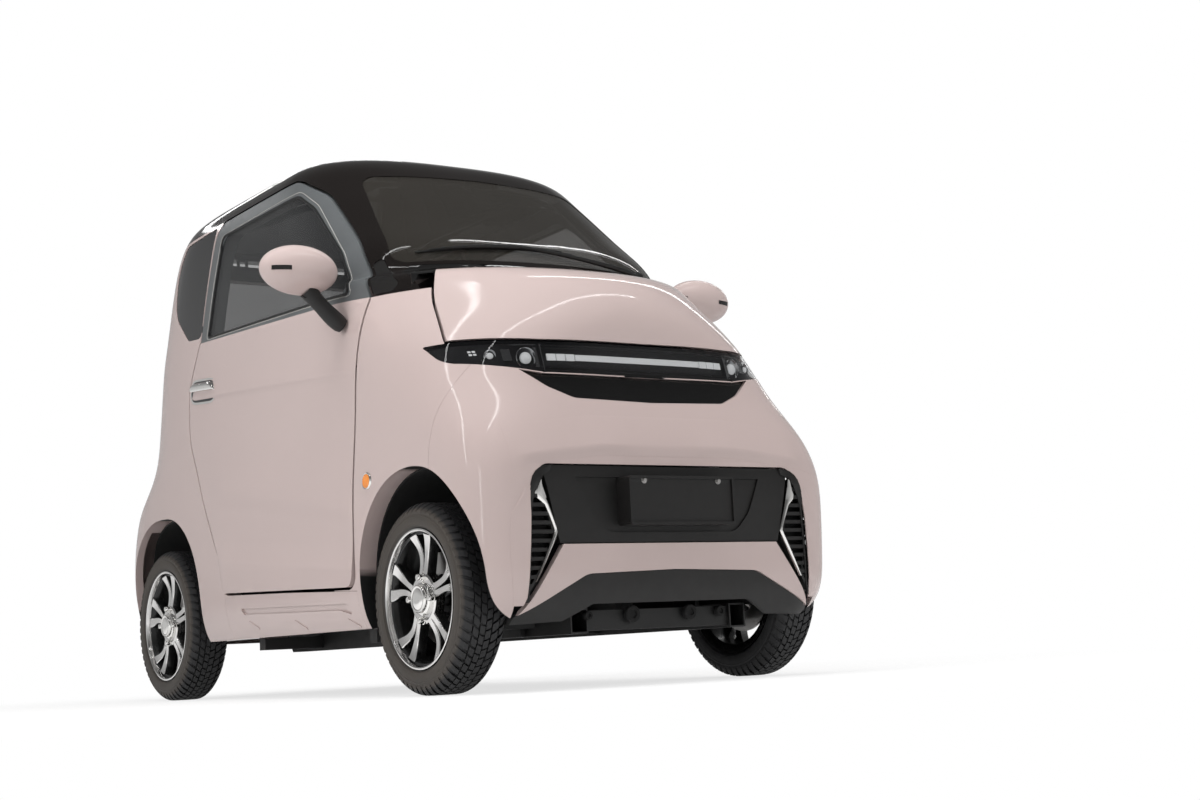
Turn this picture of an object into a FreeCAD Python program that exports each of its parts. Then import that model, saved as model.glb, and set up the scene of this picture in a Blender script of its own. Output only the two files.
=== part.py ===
import FreeCAD, Part
import math
import os

# Two-seat electric microcar, facing -Y, standing on the ground at z = 0.
# Millimetres.  X is across the car, Y along it, Z up.
# The origin is on the ground under the middle of the car's box.

V = FreeCAD.Vector
alongX = V(1, 0, 0)
alongY = V(0, 1, 0)
alongZ = V(0, 0, 1)

# Driving dimensions, kept in the sheet
drivingSizes = {
    "Wheelbase": 1640,
    "FrontOverhang": 377,
    "RearOverhang": 362,
    "HalfWidth": 556,
    "BeltHeight": 1095,
    "CarHeight": 1575,
    "BodyFloor": 150,
    "Track": 955,
    "TyreRadius": 233,
    "TyreWidth": 125,
    "RimRadius": 167,
    "RimWidth": 112,
    "RimDish": 26,
    "SpokePairs": 5,
    "HubRadius": 58,
    "SpindleRadius": 20,
    "BearingPlay": 0.05,
    "FrontArchHalf": 276,
    "FrontArchTop": 552,
    "RearArchHalf": 298,
    "RearArchTop": 562,
    "LinerThickness": 5,
    "WallThickness": 48,
    "RoofThickness": 34,
    "CoverThickness": 20,
    "GlassThickness": 5,
    "DoorGap": 7,
    "PanelGap": 0.8,
    "HingeGap": 19,
    "HingeRadius": 5,
    "HingePin": 3,
    "SeatGap": 0.3,
    "KingpinX": 430,
    "StrutTopX": 365,
    "StemRadius": 9,
    "ShaftRadius": 10,
    "PinRadius": 14,
    "PlateWidth": 318,
    "PlateHeight": 118,
    "SeatWidth": 420,
    "SeatBaseHeight": 400,
    "SeatLength": 430,
    "SeatBackHeight": 560,
    "CushionDepth": 110,
    "SteeringWheelRadius": 172,
    "MirrorLength": 190,
    "RailWidth": 50,
    "RailHeight": 60,
    "RailSpacing": 480,
    "RailBottom": 130,
    "RearRailRise": 164,
    "FloorHeight": 196,
    "DeckHeight": 470,
    "BatteryLength": 340,
    "BatteryHeight": 240,
}

doc = FreeCAD.newDocument("Microcar")
sheet = doc.addObject("Spreadsheet::Sheet", "Sizes")
for line, (alias, value) in enumerate(drivingSizes.items(), start=1):
    sheet.set("A%d" % line, alias)
    sheet.set("B%d" % line, str(value))
    sheet.setAlias("B%d" % line, alias)
doc.recompute()


def size(alias):
    return float(sheet.get(alias))


wheelbase = size("Wheelbase")
carLength = size("FrontOverhang") + wheelbase + size("RearOverhang")
frontAxle = size("FrontOverhang") - carLength / 2
rearAxle = frontAxle + wheelbase
middle = (frontAxle + rearAxle) / 2
axleHeight = size("TyreRadius")
halfTrack = size("Track") / 2
belt = size("BeltHeight")
carTop = size("CarHeight")
halfWidth = size("HalfWidth")
floorZ = size("BodyFloor")
doorGap = size("DoorGap")
panelGap = size("PanelGap")
seatGap = size("SeatGap")
glasshouse = carTop - belt
far = 3 * halfWidth
pieces = {}


# Helpers for outlines and prisms

def loop(corners, place):
    """A closed wire through corners (u, v) or (u, v, radius), set in space by place."""
    count = len(corners)
    starts = []
    ends = []
    mids = []
    for index, corner in enumerate(corners):
        here = V(corner[0], corner[1], 0)
        before = corners[index - 1]
        after = corners[(index + 1) % count]
        toBefore = V(before[0], before[1], 0) - here
        toAfter = V(after[0], after[1], 0) - here
        radius = corner[2] if len(corner) > 2 else 0
        if radius == 0:
            starts.append(here)
            ends.append(here)
            mids.append(None)
            continue
        half = toBefore.getAngle(toAfter) / 2
        reach = min(radius / math.tan(half), 0.48 * toBefore.Length, 0.48 * toAfter.Length)
        radius = reach * math.tan(half)
        toBefore.normalize()
        toAfter.normalize()
        bisector = toBefore + toAfter
        bisector.normalize()
        starts.append(here + toBefore * reach)
        ends.append(here + toAfter * reach)
        mids.append(here + bisector * (radius / math.sin(half) - radius))
    edges = []
    for index in range(count):
        if mids[index] is not None:
            arc = Part.Arc(place(starts[index]), place(mids[index]), place(ends[index]))
            edges.append(arc.toShape())
        following = starts[(index + 1) % count]
        if ends[index].distanceToPoint(following) > 0.01:
            edges.append(Part.makeLine(place(ends[index]), place(following)))
    return Part.Wire(edges)


def prismX(corners, low, high):
    """Corners are (y, z)."""
    wire = loop(corners, lambda p: V(low, p.x, p.y))
    return Part.Face(wire).extrude(V(high - low, 0, 0))


def prismY(corners, low, high):
    """Corners are (x, z)."""
    wire = loop(corners, lambda p: V(p.x, low, p.y))
    return Part.Face(wire).extrude(V(0, high - low, 0))


def prismZ(corners, low, high):
    """Corners are (x, y)."""
    wire = loop(corners, lambda p: V(p.x, p.y, low))
    return Part.Face(wire).extrude(V(0, 0, high - low))


def slab(lowX, highX, lowY, highY, lowZ, highZ):
    return Part.makeBox(highX - lowX, highY - lowY, highZ - lowZ, V(lowX, lowY, lowZ))


def rod(radius, start, end):
    axis = end - start
    return Part.makeCylinder(radius, axis.Length, start, axis)


def mirrored(shape):
    return shape.mirror(V(0, 0, 0), alongX)


def bothSides(shape):
    return Part.makeCompound([shape, mirrored(shape)])


def joined(shapes):
    result = shapes[0]
    for shape in shapes[1:]:
        result = result.fuse(shape)
    return result.removeSplitter()


def solidsOf(shape):
    """The solids of a boolean result as one shape."""
    solids = [solid for solid in shape.Solids if solid.Volume > 50]
    if len(solids) == 1:
        return solids[0]
    return Part.makeCompound(solids)


def widened(corners, gap):
    """The same outline moved out by gap."""
    area = sum(a[0] * b[1] - b[0] * a[1] for a, b in zip(corners, corners[1:] + corners[:1]))
    turn = 1 if area > 0 else -1
    result = []
    count = len(corners)
    for index, corner in enumerate(corners):
        before = V(corners[index - 1][0], corners[index - 1][1], 0)
        here = V(corner[0], corner[1], 0)
        after = V(corners[(index + 1) % count][0], corners[(index + 1) % count][1], 0)
        first = (here - before).normalize()
        second = (after - here).normalize()
        normalOne = V(first.y, -first.x, 0) * turn
        normalTwo = V(second.y, -second.x, 0) * turn
        push = (normalOne + normalTwo) * (gap / (1 + normalOne.dot(normalTwo)))
        moved = here + push
        radius = corner[2] if len(corner) > 2 else 0
        result.append((moved.x, moved.y, max(radius + gap, 0) if radius else 0))
    return result


def strip(line, thickness):
    """The outline of a sheet of one thickness that follows an open line."""
    back = []
    for index, point in enumerate(line):
        here = V(point[0], point[1], 0)
        before = V(line[max(index - 1, 0)][0], line[max(index - 1, 0)][1], 0)
        after = V(line[min(index + 1, len(line) - 1)][0], line[min(index + 1, len(line) - 1)][1], 0)
        first = (here - before) if index else (after - here)
        second = (after - here) if index < len(line) - 1 else first
        first.normalize()
        second.normalize()
        normalOne = V(first.y, -first.x, 0)
        normalTwo = V(second.y, -second.x, 0)
        moved = here + (normalOne + normalTwo) * (thickness / (1 + normalOne.dot(normalTwo)))
        back.append((moved.x, moved.y))
    return list(line) + back[::-1]


def addPiece(label, shape):
    """A document object of the sub-part's own name that holds its finished shape."""
    piece = doc.addObject("Part::Feature", label)
    piece.Label = label
    piece.Shape = shape
    pieces[label] = piece
    return piece


# Body form: stations up the car, each with how far it reaches ahead of the front axle and
# behind the rear axle, how far its side stands in from the half width, and how square its
# front and rear corners are.

lowerStations = [
    (150, 280, 265, 51, 10, 7),
    (200, 315, 330, 21, 12, 8),
    (300, 329, 352, 4, 12, 9),
    (420, 332, 362, 0, 12, 9),
    (520, 328, 358, 0, 11, 8),
    (600, 308, 340, 3, 8.5, 7),
    (680, 272, 262, 7, 6, 6.5),
    (750, 242, 212, 9, 4.6, 6.2),
    (840, 230, 192, 11, 3.3, 6),
    (902, 223, 185, 14, 2.6, 6),
    (975, 190, 178, 18, 2.1, 6),
    (1030, 135, 172, 22, 2.0, 6),
    (1068, 55, 165, 26, 2.2, 6),
    (1085, -30, 160, 29, 2.5, 6),
    (1095, -108, 155, 31, 2.8, 6),
]
upperStations = [
    (0.115, -170, 148, 39, 3.0, 6),
    (0.323, -285, 137, 54, 3.0, 6),
    (0.531, -408, 126, 72, 3.0, 6),
    (0.698, -505, 108, 90, 3.0, 5.6),
    (0.802, -565, 75, 110, 3.0, 5.2),
    (0.865, -615, 15, 136, 2.9, 4.8),
    (0.917, -685, -70, 178, 2.8, 4.2),
    (0.952, -760, -165, 241, 2.7, 3.8),
    (0.977, -840, -270, 321, 2.6, 3.4),
    (0.992, -930, -365, 406, 2.5, 3.0),
    (1.000, -1010, -450, 486, 2.4, 2.6),
]
capPoints = 22
sidePoints = 7
sideBulge = 0.012


def stationRing(height, frontY, rearY, side, frontSquare, rearSquare):
    """One closed level curve of the body: two squared caps and two gently bowed sides."""
    length = rearY - frontY
    capFront = frontY + 0.30 * length
    capRear = rearY - 0.30 * length
    points = []
    for step in range(capPoints):
        angle = math.pi * step / capPoints
        across = math.cos(angle)
        ahead = math.sin(angle)
        scale = (abs(across) ** frontSquare + ahead ** frontSquare) ** (-1 / frontSquare)
        points.append((side * across * scale, capFront - (capFront - frontY) * ahead * scale))
    for step in range(sidePoints):
        points.append((-side, capFront + (capRear - capFront) * step / sidePoints))
    for step in range(capPoints):
        angle = math.pi * step / capPoints
        across = -math.cos(angle)
        behind = math.sin(angle)
        scale = (abs(across) ** rearSquare + behind ** rearSquare) ** (-1 / rearSquare)
        points.append((side * across * scale, capRear + (rearY - capRear) * behind * scale))
    for step in range(sidePoints):
        points.append((side, capRear + (capFront - capRear) * step / sidePoints))
    centre = (frontY + rearY) / 2
    ring = []
    for across, along in points:
        bow = 1 - sideBulge * (2 * (along - centre) / length) ** 2
        ring.append(V(across * bow, along, height))
    knots = [index / len(ring) for index in range(len(ring) + 1)]
    curve = Part.BSplineCurve()
    curve.interpolate(Points=ring, PeriodicFlag=True, Parameters=knots)
    return Part.Wire(curve.toShape())


def bodySolid():
    rings = []
    for height, ahead, behind, inset, frontSquare, rearSquare in lowerStations:
        level = height + (belt - lowerStations[-1][0])
        level = max(level, floorZ) if height > lowerStations[0][0] else floorZ
        rings.append(stationRing(level, frontAxle - ahead, rearAxle + behind,
                                 halfWidth - inset, frontSquare, rearSquare))
    for share, ahead, behind, inset, frontSquare, rearSquare in upperStations:
        rings.append(stationRing(belt + share * glasshouse, frontAxle - ahead, rearAxle + behind,
                                 halfWidth - inset, frontSquare, rearSquare))
    return Part.makeLoft(rings, True, False)


body = bodySolid()


insets = {}


def inset(depth, roofDepth=None):
    """The body drawn in by depth at its sides and ends and roofDepth at its roof."""
    roofDepth = depth if roofDepth is None else roofDepth
    if (depth, roofDepth) in insets:
        return insets[depth, roofDepth]
    matrix = FreeCAD.Matrix()
    matrix.A11 = 1 - depth / halfWidth
    matrix.A22 = 1 - 2 * depth / carLength
    matrix.A33 = 1 - roofDepth / (carTop - floorZ)
    matrix.A34 = floorZ * (1 - matrix.A33)
    insets[depth, roofDepth] = body.transformGeometry(matrix)
    return insets[depth, roofDepth]


def layer(region, outerDepth, innerDepth):
    """The part of a region between two depths under the body's skin."""
    return solidsOf(inset(outerDepth).common(region).cut(inset(innerDepth)))


def skinLayer(region, innerDepth):
    return solidsOf(body.common(region).cut(inset(innerDepth)))


# Outlines in side view (y, z).  Door and sill follow the middle of the wheelbase,
# arches and seams follow their own axle.

def fromMiddle(corners):
    return [(corner[0] + middle,) + tuple(corner[1:]) for corner in corners]


def fromAxle(axle, corners):
    return [(corner[0] + axle,) + tuple(corner[1:]) for corner in corners]


doorOutline = fromMiddle([
    (-519, 279, 40), (-548, 836, 300), (-566, 1022, 20), (-435, 1195, 400), (-211, 1385, 300),
    (-47, 1462, 90), (500, 1452, 60), (506, 1079, 30), (574, 936, 60), (560, 780, 200),
    (449, 589, 300), (322, 392, 200), (308, 307, 30),
])
beltSeam = fromMiddle([(-566, 1024), (-520, 1026), (506, 1079)])
doorGlassOutline = fromMiddle([
    (-478, 1048, 25), (-385, 1180, 300), (-185, 1352, 300), (-80, 1412, 60),
    (440, 1404, 60), (452, 1086, 30),
])
quarterGlassOutline = fromMiddle([
    (513, 1450, 12), (512, 1096, 20), (620, 1104, 60), (770, 1210, 160), (812, 1345, 90),
    (770, 1440, 40),
])
triangleOutline = fromMiddle([(-574, 1030), (-446, 1196, 30), (-672, 1030, 30)])
roofSide = fromMiddle([
    (-far, 1026), (-300, 1026), (480, 1457), (790, 1450), (870, 1415), (far, 1405),
    (far, 2 * carTop), (-far, 2 * carTop),
])
bumperSeam = fromAxle(frontAxle, [
    (-147, 852), (-147, 792, 60), (-112, 654, 100), (-104, 578, 60), (-114, 400),
])
sillRecessOutline = fromMiddle([
    (-456, 240, 8), (-492, 207, 10), (-413, 224, 60), (188, 240, 8), (212, 258, 8),
])
sillRecessDepth = 6
sillTop = 268
sillBottom = 172
rearBumperTop = 640
wheelWellDepth = 250
triangleInner = 436
doorRoom = 24

# Outlines in front view (x, z)
lampOutline = [
    (-498, 850, 4), (-455, 852, 60), (-282, 843, 200), (0, 841), (282, 843, 200), (455, 852, 60),
    (498, 850, 4), (488, 797, 30), (402, 781, 60), (290, 764, 60), (0, 762), (-290, 764, 60),
    (-402, 781, 60), (-488, 797, 30),
]
mouthOutline = [
    (-352, 770.5), (-293, 726, 60), (-228, 698, 60), (0, 692), (228, 698, 60), (293, 726, 60),
    (352, 770.5), (290, 760.5, 60), (0, 758.5), (-290, 760.5, 60),
]
windscreenOutline = [
    (-432, 1122, 30), (0, 1130), (432, 1122, 30), (352, 1440, 50), (0, 1452), (-352, 1440, 50),
]
blackOpening = [
    (-376, 529, 40), (376, 529, 40), (455, 400, 90), (458, 300), (446, 100), (-446, 100),
    (-458, 300), (-455, 400, 90),
]
hatchTop = 1418
hatchOutline = [
    (-392, 690, 50), (392, 690, 50), (424, 1000, 200), (372, hatchTop, 70), (-372, hatchTop, 70),
    (-424, 1000, 200),
]
hatchGlassOutline = [(-372, 1030, 40), (372, 1030, 40), (330, 1372, 60), (-330, 1372, 60)]
panelRecessOutline = [
    (-277, 498), (-239, 412, 90), (-196, 366, 50), (196, 366, 50), (239, 412, 90), (277, 498),
]
panelDepth = 4
panelRecessDepth = 9
ventOutline = [(-384, 508, 6), (-340, 352, 4), (-430, 206, 6), (-452, 300), (-449, 400, 60)]

# Outline in plan (x, y)
bonnetRear = frontAxle + 140
bonnetOutline = [
    (-366, bonnetRear, 6), (0, bonnetRear - 34, 900), (366, bonnetRear, 6), (425, frontAxle + 60, 150),
    (462, frontAxle - 60, 150), (472, frontAxle - 300), (-472, frontAxle - 300),
    (-462, frontAxle - 60, 150), (-425, frontAxle + 60, 150),
]
bonnetFront = 836

# Shells of the body
cabin = inset(size("WallThickness"), size("RoofThickness"))
coverInner = inset(size("CoverThickness"))
glassDepth = 2
glassInner = glassDepth + size("GlassThickness")


def archOutline(axle, grow=0):
    """The wheel arch in side view, a round top on upright legs."""
    front = axle == frontAxle
    half = size("FrontArchHalf") if front else size("RearArchHalf")
    top = size("FrontArchTop") if front else size("RearArchTop")
    centre = axle - 6 if front else axle - 28
    half += grow
    top += grow
    return [(centre - half, -1), (centre - half, top, half), (centre + half, top, half),
            (centre + half, -1)]


def archHole(axle, grow=0, depth=wheelWellDepth):
    return prismX(archOutline(axle, grow), -far, -depth)


rightHalf = slab(-far, 0, -far, far, 0, 2 * carTop)
halfShell = body.common(rightHalf)
for axle in (frontAxle, rearAxle):
    halfShell = halfShell.cut(archHole(axle))
belowSill = slab(-far, far, -far, far, 0, sillBottom)
halfShell = halfShell.cut(belowSill)
wall = halfShell.cut(cabin)
cover = halfShell.cut(coverInner)

doorRegion = prismX(doorOutline, -far, -250)
doorHole = prismX(widened(doorOutline, doorGap), -far, -250)
aboveRoofLine = prismX(roofSide, -far, far)
bonnetRegion = prismZ(bonnetOutline, bonnetFront, belt + 60)
bonnetHole = prismZ(widened(bonnetOutline, doorGap), bonnetFront - doorGap, belt + 60)
hatchRegion = prismY(hatchOutline, rearAxle - 60, far)
hatchHole = prismY(widened(hatchOutline, doorGap), rearAxle - 60, far)
hatchHole = hatchHole.fuse(slab(-330, 330, rearAxle - 60, far, hatchTop - 5, hatchTop + size("HingeGap")))
lampRegion = prismY(lampOutline, -far, frontAxle)
lampHole = prismY(widened(lampOutline, panelGap / 2), -far, frontAxle)
lampClear = prismY(widened(lampOutline, doorGap), -far, frontAxle)
mouthRegion = prismY(mouthOutline, -far, frontAxle)
mouthHole = prismY(widened(mouthOutline, panelGap / 3), -far, frontAxle)
blackRegion = prismY(blackOpening, -far, frontAxle)
bumperRegion = prismX([(-far, bonnetFront), (bumperSeam[0][0], bonnetFront)] + bumperSeam[1:]
                      + [(frontAxle - 60, 0), (-far, 0)], -far, far)
fenderSeam = fromAxle(panelGap, bumperSeam)
fenderRegion = prismX(fenderSeam + [(frontAxle, 0), (middle, 0), (middle, 1023), (-far, 1023), (-far, 1000),
                                    (fenderSeam[0][0], 1000)], -far, far)


# Hinges: a middle knuckle on the moving piece, two outer knuckles and the pin on the fixed one

def hinge(centre, axis, fixedWebs, movingWeb):
    """Webs are (lowX, highX, lowY, highY, lowZ, highZ) about the centre, the fixed ones at each end."""
    axis = V(axis).normalize()
    radius = size("HingeRadius")
    pin = size("HingePin")
    half = 9
    end = 20
    ease = 0.6

    def web(box, shift):
        return slab(*box).translated(centre + axis * shift)

    moving = rod(radius, centre - axis * half, centre + axis * half).fuse(web(movingWeb, 0))
    moving = moving.cut(rod(pin, centre - axis * end, centre + axis * end))
    fixed = [rod(pin - size("BearingPlay"), centre - axis * end, centre + axis * end)]
    for side in (-1, 1):
        fixed.append(rod(radius, centre + axis * side * (half + ease), centre + axis * side * end))
        for fixedWeb in fixedWebs:
            fixed.append(web(fixedWeb, side * (half + end + ease) / 2))
    return {"moving": moving, "fixed": joined(fixed)}


def withLeaves(piece, hinges, part):
    """The piece joined to its side of the hinges."""
    return joined([piece] + [item[part] for item in hinges])


doorAxisLow = V(-545.5, middle - 500, 400)
doorAxisHigh = V(-534.2, middle - 524, 860)
doorAxis = (doorAxisHigh - doorAxisLow).normalize()
doorHingeLevels = (0.12, 0.92)
doorHingeCentres = [doorAxisLow + (doorAxisHigh - doorAxisLow) * share for share in doorHingeLevels]
doorFixedWebs = [(0, 38, -3, 3, -4.5, 4.5), (32, 38, -40, 3, -4.5, 4.5)]
doorMovingWeb = (-3, 3, 0, 14, -8, 8)
doorHinges = [hinge(centre, doorAxis, doorFixedWebs, doorMovingWeb) for centre in doorHingeCentres]
doorPockets = [slab(-5.8, 70, -45, 8, -24, 24).translated(centre) for centre in doorHingeCentres]
bonnetAxis = V(0, bonnetRear + 8, belt + 3)
bonnetHingeX = 240
bonnetHinges = [hinge(bonnetAxis + V(x, 0, 0), alongX, [(-4.5, 4.5, 0, 14, -3, 3)], (-8, 8, -34, 0, -14, -3))
                for x in (-bonnetHingeX, bonnetHingeX)]
bonnetPockets = slab(-bonnetHingeX - 24, -bonnetHingeX + 24, bonnetRear - 30, bonnetRear + 16,
                     belt - 40, belt + 40)
hatchAxis = V(0, rearAxle + 104, hatchTop + 6)
hatchHinges = [hinge(hatchAxis + V(x, 0, 0), alongX, [(-4.5, 4.5, -3, 3, 0, 16)], (-8, 8, -3, 3, -20, 0))
               for x in (-200, 200)]

# Places of the mirror, the steering column and the seats
mirrorCentre = V(-652, middle - 458, 1106)
driverX = 232
columnAxis = V(0, 0.88, 0.475).normalize()
columnStart = V(driverX, frontAxle + 395, 850)
columnEnd = columnStart + columnAxis * 130
seatFront = middle + 8
print("shells ready")


def fullWidth(half):
    """A piece that crosses the car, from its right half."""
    return joined([half, mirrored(half)])


def roofPanel():
    half = wall.common(aboveRoofLine).cut(doorHole).cut(bonnetHole).cut(hatchHole)
    half = half.cut(prismY(windscreenOutline, -far, 0))
    half = half.cut(prismX(quarterGlassOutline, -far, 0))
    half = half.cut(cowlRegion(1))
    half = half.cut(prismX(triangleOutline, -far, -triangleInner))
    return withLeaves(fullWidth(solidsOf(half)), hatchHinges, "fixed")


def cowlRegion(gap):
    return slab(-434 - gap, 434 + gap, -far, frontAxle + 230, 0, 1112 + gap)


def cowlPanel():
    half = wall.common(aboveRoofLine).cut(bonnetHole).common(cowlRegion(0)).cut(doorHole)
    half = half.common(slab(-far, far, -far, far, 1070, 2000)).cut(bonnetPockets)
    return withLeaves(fullWidth(solidsOf(half)), bonnetHinges, "fixed")


def windscreen():
    return layer(prismY(widened(windscreenOutline, -0.1), -far, 0), glassDepth, glassInner)


def frontFender():
    half = wall.common(fenderRegion).cut(doorHole).cut(bonnetHole).cut(lampHole)
    half = half.cut(sillRegion(panelGap)).common(slab(-far, far, -far, middle - 400, 0, 2 * belt))
    return withLeaves(solidsOf(half), doorHinges, "fixed")


def frontBumper():
    half = cover.common(bumperRegion).cut(bonnetHole).cut(lampHole).cut(mouthHole).cut(blackRegion)
    return solidsOf(half)


def sillRegion(gap):
    return prismX(fromMiddle([
        (-526 - gap, 0), (-526 - gap, sillTop + gap), (308 + gap, sillTop + 36 + gap), (308 + gap, 0),
    ]), -far, far)


def sill():
    """Sill under the door with a long shallow recess in its side."""
    half = wall.common(sillRegion(0)).cut(doorHole)
    recess = prismX(sillRecessOutline, -far, 0).cut(inset(sillRecessDepth))
    return solidsOf(half.cut(recess))


def rearQuarter():
    half = wall.cut(aboveRoofLine).common(slab(-far, far, middle, far, 0, carTop))
    half = half.cut(doorHole).cut(hatchHole).cut(prismX(quarterGlassOutline, -far, 0))
    half = half.cut(rearBumperRegion(panelGap)).cut(tailLampRegion(panelGap / 2))
    half = half.cut(sillRegion(panelGap)).common(slab(-far, far, middle + 200, far, 0, 2 * belt))
    return solidsOf(half)


def rearBumperRegion(gap):
    return prismX([(rearAxle + 120 - gap, rearBumperTop + gap), (far, rearBumperTop + gap), (far, 0),
                   (rearAxle + 120 - gap, 0)], -far, far)


def rearBumper():
    half = cover.common(rearBumperRegion(0))
    return fullWidth(solidsOf(half))


def tailLampRegion(gap):
    outline = [(-500, 830, 20), (-446, 830, 20), (-440, 1010, 20), (-492, 1010, 20)]
    return prismY(widened(outline, gap), rearAxle, far)


def tailLamp():
    return skinLayer(tailLampRegion(0), size("CoverThickness"))


def bonnet():
    lid = solidsOf(skinLayer(bonnetRegion, 14).cut(lampClear))
    return withLeaves(lid, bonnetHinges, "moving")


def lampBar():
    return layer(lampRegion, 1, 36)


def mouthPanel():
    return layer(mouthRegion, 9, 27)


def doorPanel():
    shell = wall.common(doorRegion)
    for pocket in doorPockets:
        shell = shell.cut(pocket)
    seam = prismX([(-far, 0), (-far, beltSeam[0][1])] + beltSeam + [(far, beltSeam[-1][1]), (far, 0)],
                  -far, far)
    return withLeaves(solidsOf(shell.common(seam)), doorHinges, "moving")


def doorFrame():
    seam = prismX([(-far, 2 * carTop), (-far, beltSeam[0][1])] + beltSeam
                  + [(far, beltSeam[-1][1]), (far, 2 * carTop)], -far, far)
    return solidsOf(wall.common(doorRegion).common(seam).cut(prismX(doorGlassOutline, -far, 0)))


def doorGlass():
    return layer(prismX(doorGlassOutline, -far, 0), glassDepth, glassInner)


def mirrorForm():
    form = Part.makeSphere(1)
    matrix = FreeCAD.Matrix()
    matrix.A11 = size("MirrorLength") / 2 + 14
    matrix.A22 = 54
    matrix.A33 = 66
    form = form.transformGeometry(matrix)
    form.translate(mirrorCentre)
    return form


def mirrorShell():
    """Egg-shaped head with a flat mirror face, on a curved arm that stands on the door."""
    rear = mirrorCentre.y + 30
    form = mirrorForm().common(slab(-far, 0, -far, rear, 0, 2 * belt))
    recess = mirrorForm()
    recess.scale(0.9, mirrorCentre)
    form = form.cut(recess.common(slab(-far, 0, rear - 8, far, 0, 2 * belt)))
    foot = V(-500, middle - 482, 958)
    elbow = V(-590, middle - 474, 984)
    head = V(-628, middle - 466, 1064)
    arm = joined([
        Part.makeCone(28, 15, foot.distanceToPoint(elbow), foot, elbow - foot),
        Part.makeSphere(15, elbow), rod(15, elbow, head),
    ])
    return joined([form, arm.cut(body)])


def doorHandle():
    outline = fromMiddle([(385, 898, 12), (385, 932, 12), (545, 950, 12), (545, 914, 12)])
    return layer(prismX(outline, -far, -250), -14, 0)


def quarterGlass():
    return bothSides(layer(prismX(quarterGlassOutline, -far, 0), glassDepth, glassInner))


def frontTriangle():
    half = layer(prismX(triangleOutline, -far, -triangleInner), glassDepth, size("CoverThickness"))
    return bothSides(solidsOf(half.cut(doorHole)))


def hatch():
    half = body.common(rightHalf).cut(cabin).common(hatchRegion)
    half = half.cut(prismY(hatchGlassOutline, rearAxle - 60, far))
    return withLeaves(fullWidth(solidsOf(half)), hatchHinges, "moving")


def hatchGlass():
    return layer(prismY(hatchGlassOutline, rearAxle - 60, far), glassDepth, glassInner)


def lowerGrille():
    """Matte black insert: middle panel with its recess, slatted corner vents and lower lip."""
    panel = prismY([(-373, 525), (373, 525), (330, 342), (-330, 342)], -far, frontAxle)
    lip = prismY([(-442, 156), (-442, 173.2), (-256, 267.8, 60), (0, 275.1), (256, 267.8, 60), (442, 173.2),
                  (442, 156), (310, 160), (235, 198, 30), (-235, 198, 30), (-310, 160)], -far, frontAxle)
    vent = prismY(ventOutline, -far, frontAxle)
    ventHole = prismY(widened(ventOutline, -6), -far, frontAxle)
    rim = vent.cut(ventHole)
    slats = []
    for index in range(12):
        level = 238 + 21 * index
        slats.append(slab(-470, -330, -far, frontAxle, level, level + 9))
    bars = joined(slats).common(vent)
    sides = joined([rim, bars])
    insert = layer(joined([panel, sides, mirrored(sides)]).common(blackRegion), panelDepth, 24)
    recess = prismY(panelRecessOutline, -far, frontAxle).cut(inset(panelRecessDepth))
    lipShell = layer(lip.common(blackRegion), panelDepth, 16)
    return Part.makeCompound(insert.cut(recess).Solids + lipShell.Solids)


def chinStrip():
    outline = [(-322, 339), (322, 339), (436, 177), (256, 268.5, 60), (0, 275.5), (-256, 268.5, 60),
               (-436, 177)]
    return skinLayer(prismY(outline, -far, frontAxle).common(blackRegion), size("CoverThickness"))


def blade():
    shape = [(-380, 512), (-386, 470), (-339, 347), (-426, 200), (-421, 200), (-329, 347), (-368, 430)]
    return bothSides(layer(prismY(shape, -far, frontAxle), -3, panelDepth - 0.1))


def wiper():
    blade = [(-300, 1150), (-300, 1158), (60, 1166), (300, 1146), (300, 1138), (60, 1158)]
    arm = [(-10, 1168), (20, 1172), (322, 1120), (318, 1104), (300, 1108)]
    rubber = layer(prismY(blade, -far, frontAxle + 400), -9, 1.7)
    reach = layer(prismY(arm, -far, frontAxle + 400), -15, -7)
    pivot = layer(rod(9, V(310, -far, 1113), V(310, frontAxle + 400, 1113)), -17, 0)
    return joined([rubber, reach, pivot])


def sideMarkers():
    spot = rod(21, V(-far, frontAxle + 207, 540), V(-250, frontAxle + 207, 540))
    return bothSides(layer(spot, -11, -1))


def archLiners():
    """Arched tubs over the wheels, closed on their inner side."""
    thickness = size("LinerThickness")
    inner = wheelWellDepth + 38
    room = inset(size("WallThickness") + seatGap)
    shapes = []
    for axle in (frontAxle, rearAxle):
        tub = archHole(axle, -seatGap, inner).cut(archHole(axle, -seatGap - thickness, inner + thickness))
        tub = tub.common(room).cut(slab(-far, far, -far, far, 0, size("FloorHeight") - 10))
        if axle == frontAxle:
            tub = tub.cut(rod(40, kingpinAt(0), kingpinAt(900)))
        else:
            tub = tub.cut(rod(60, V(-far, axle, axleHeight), V(0, axle, axleHeight)))
        shapes.append(solidsOf(tub))
    return Part.makeCompound(shapes + [mirrored(shape) for shape in shapes])


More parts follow.
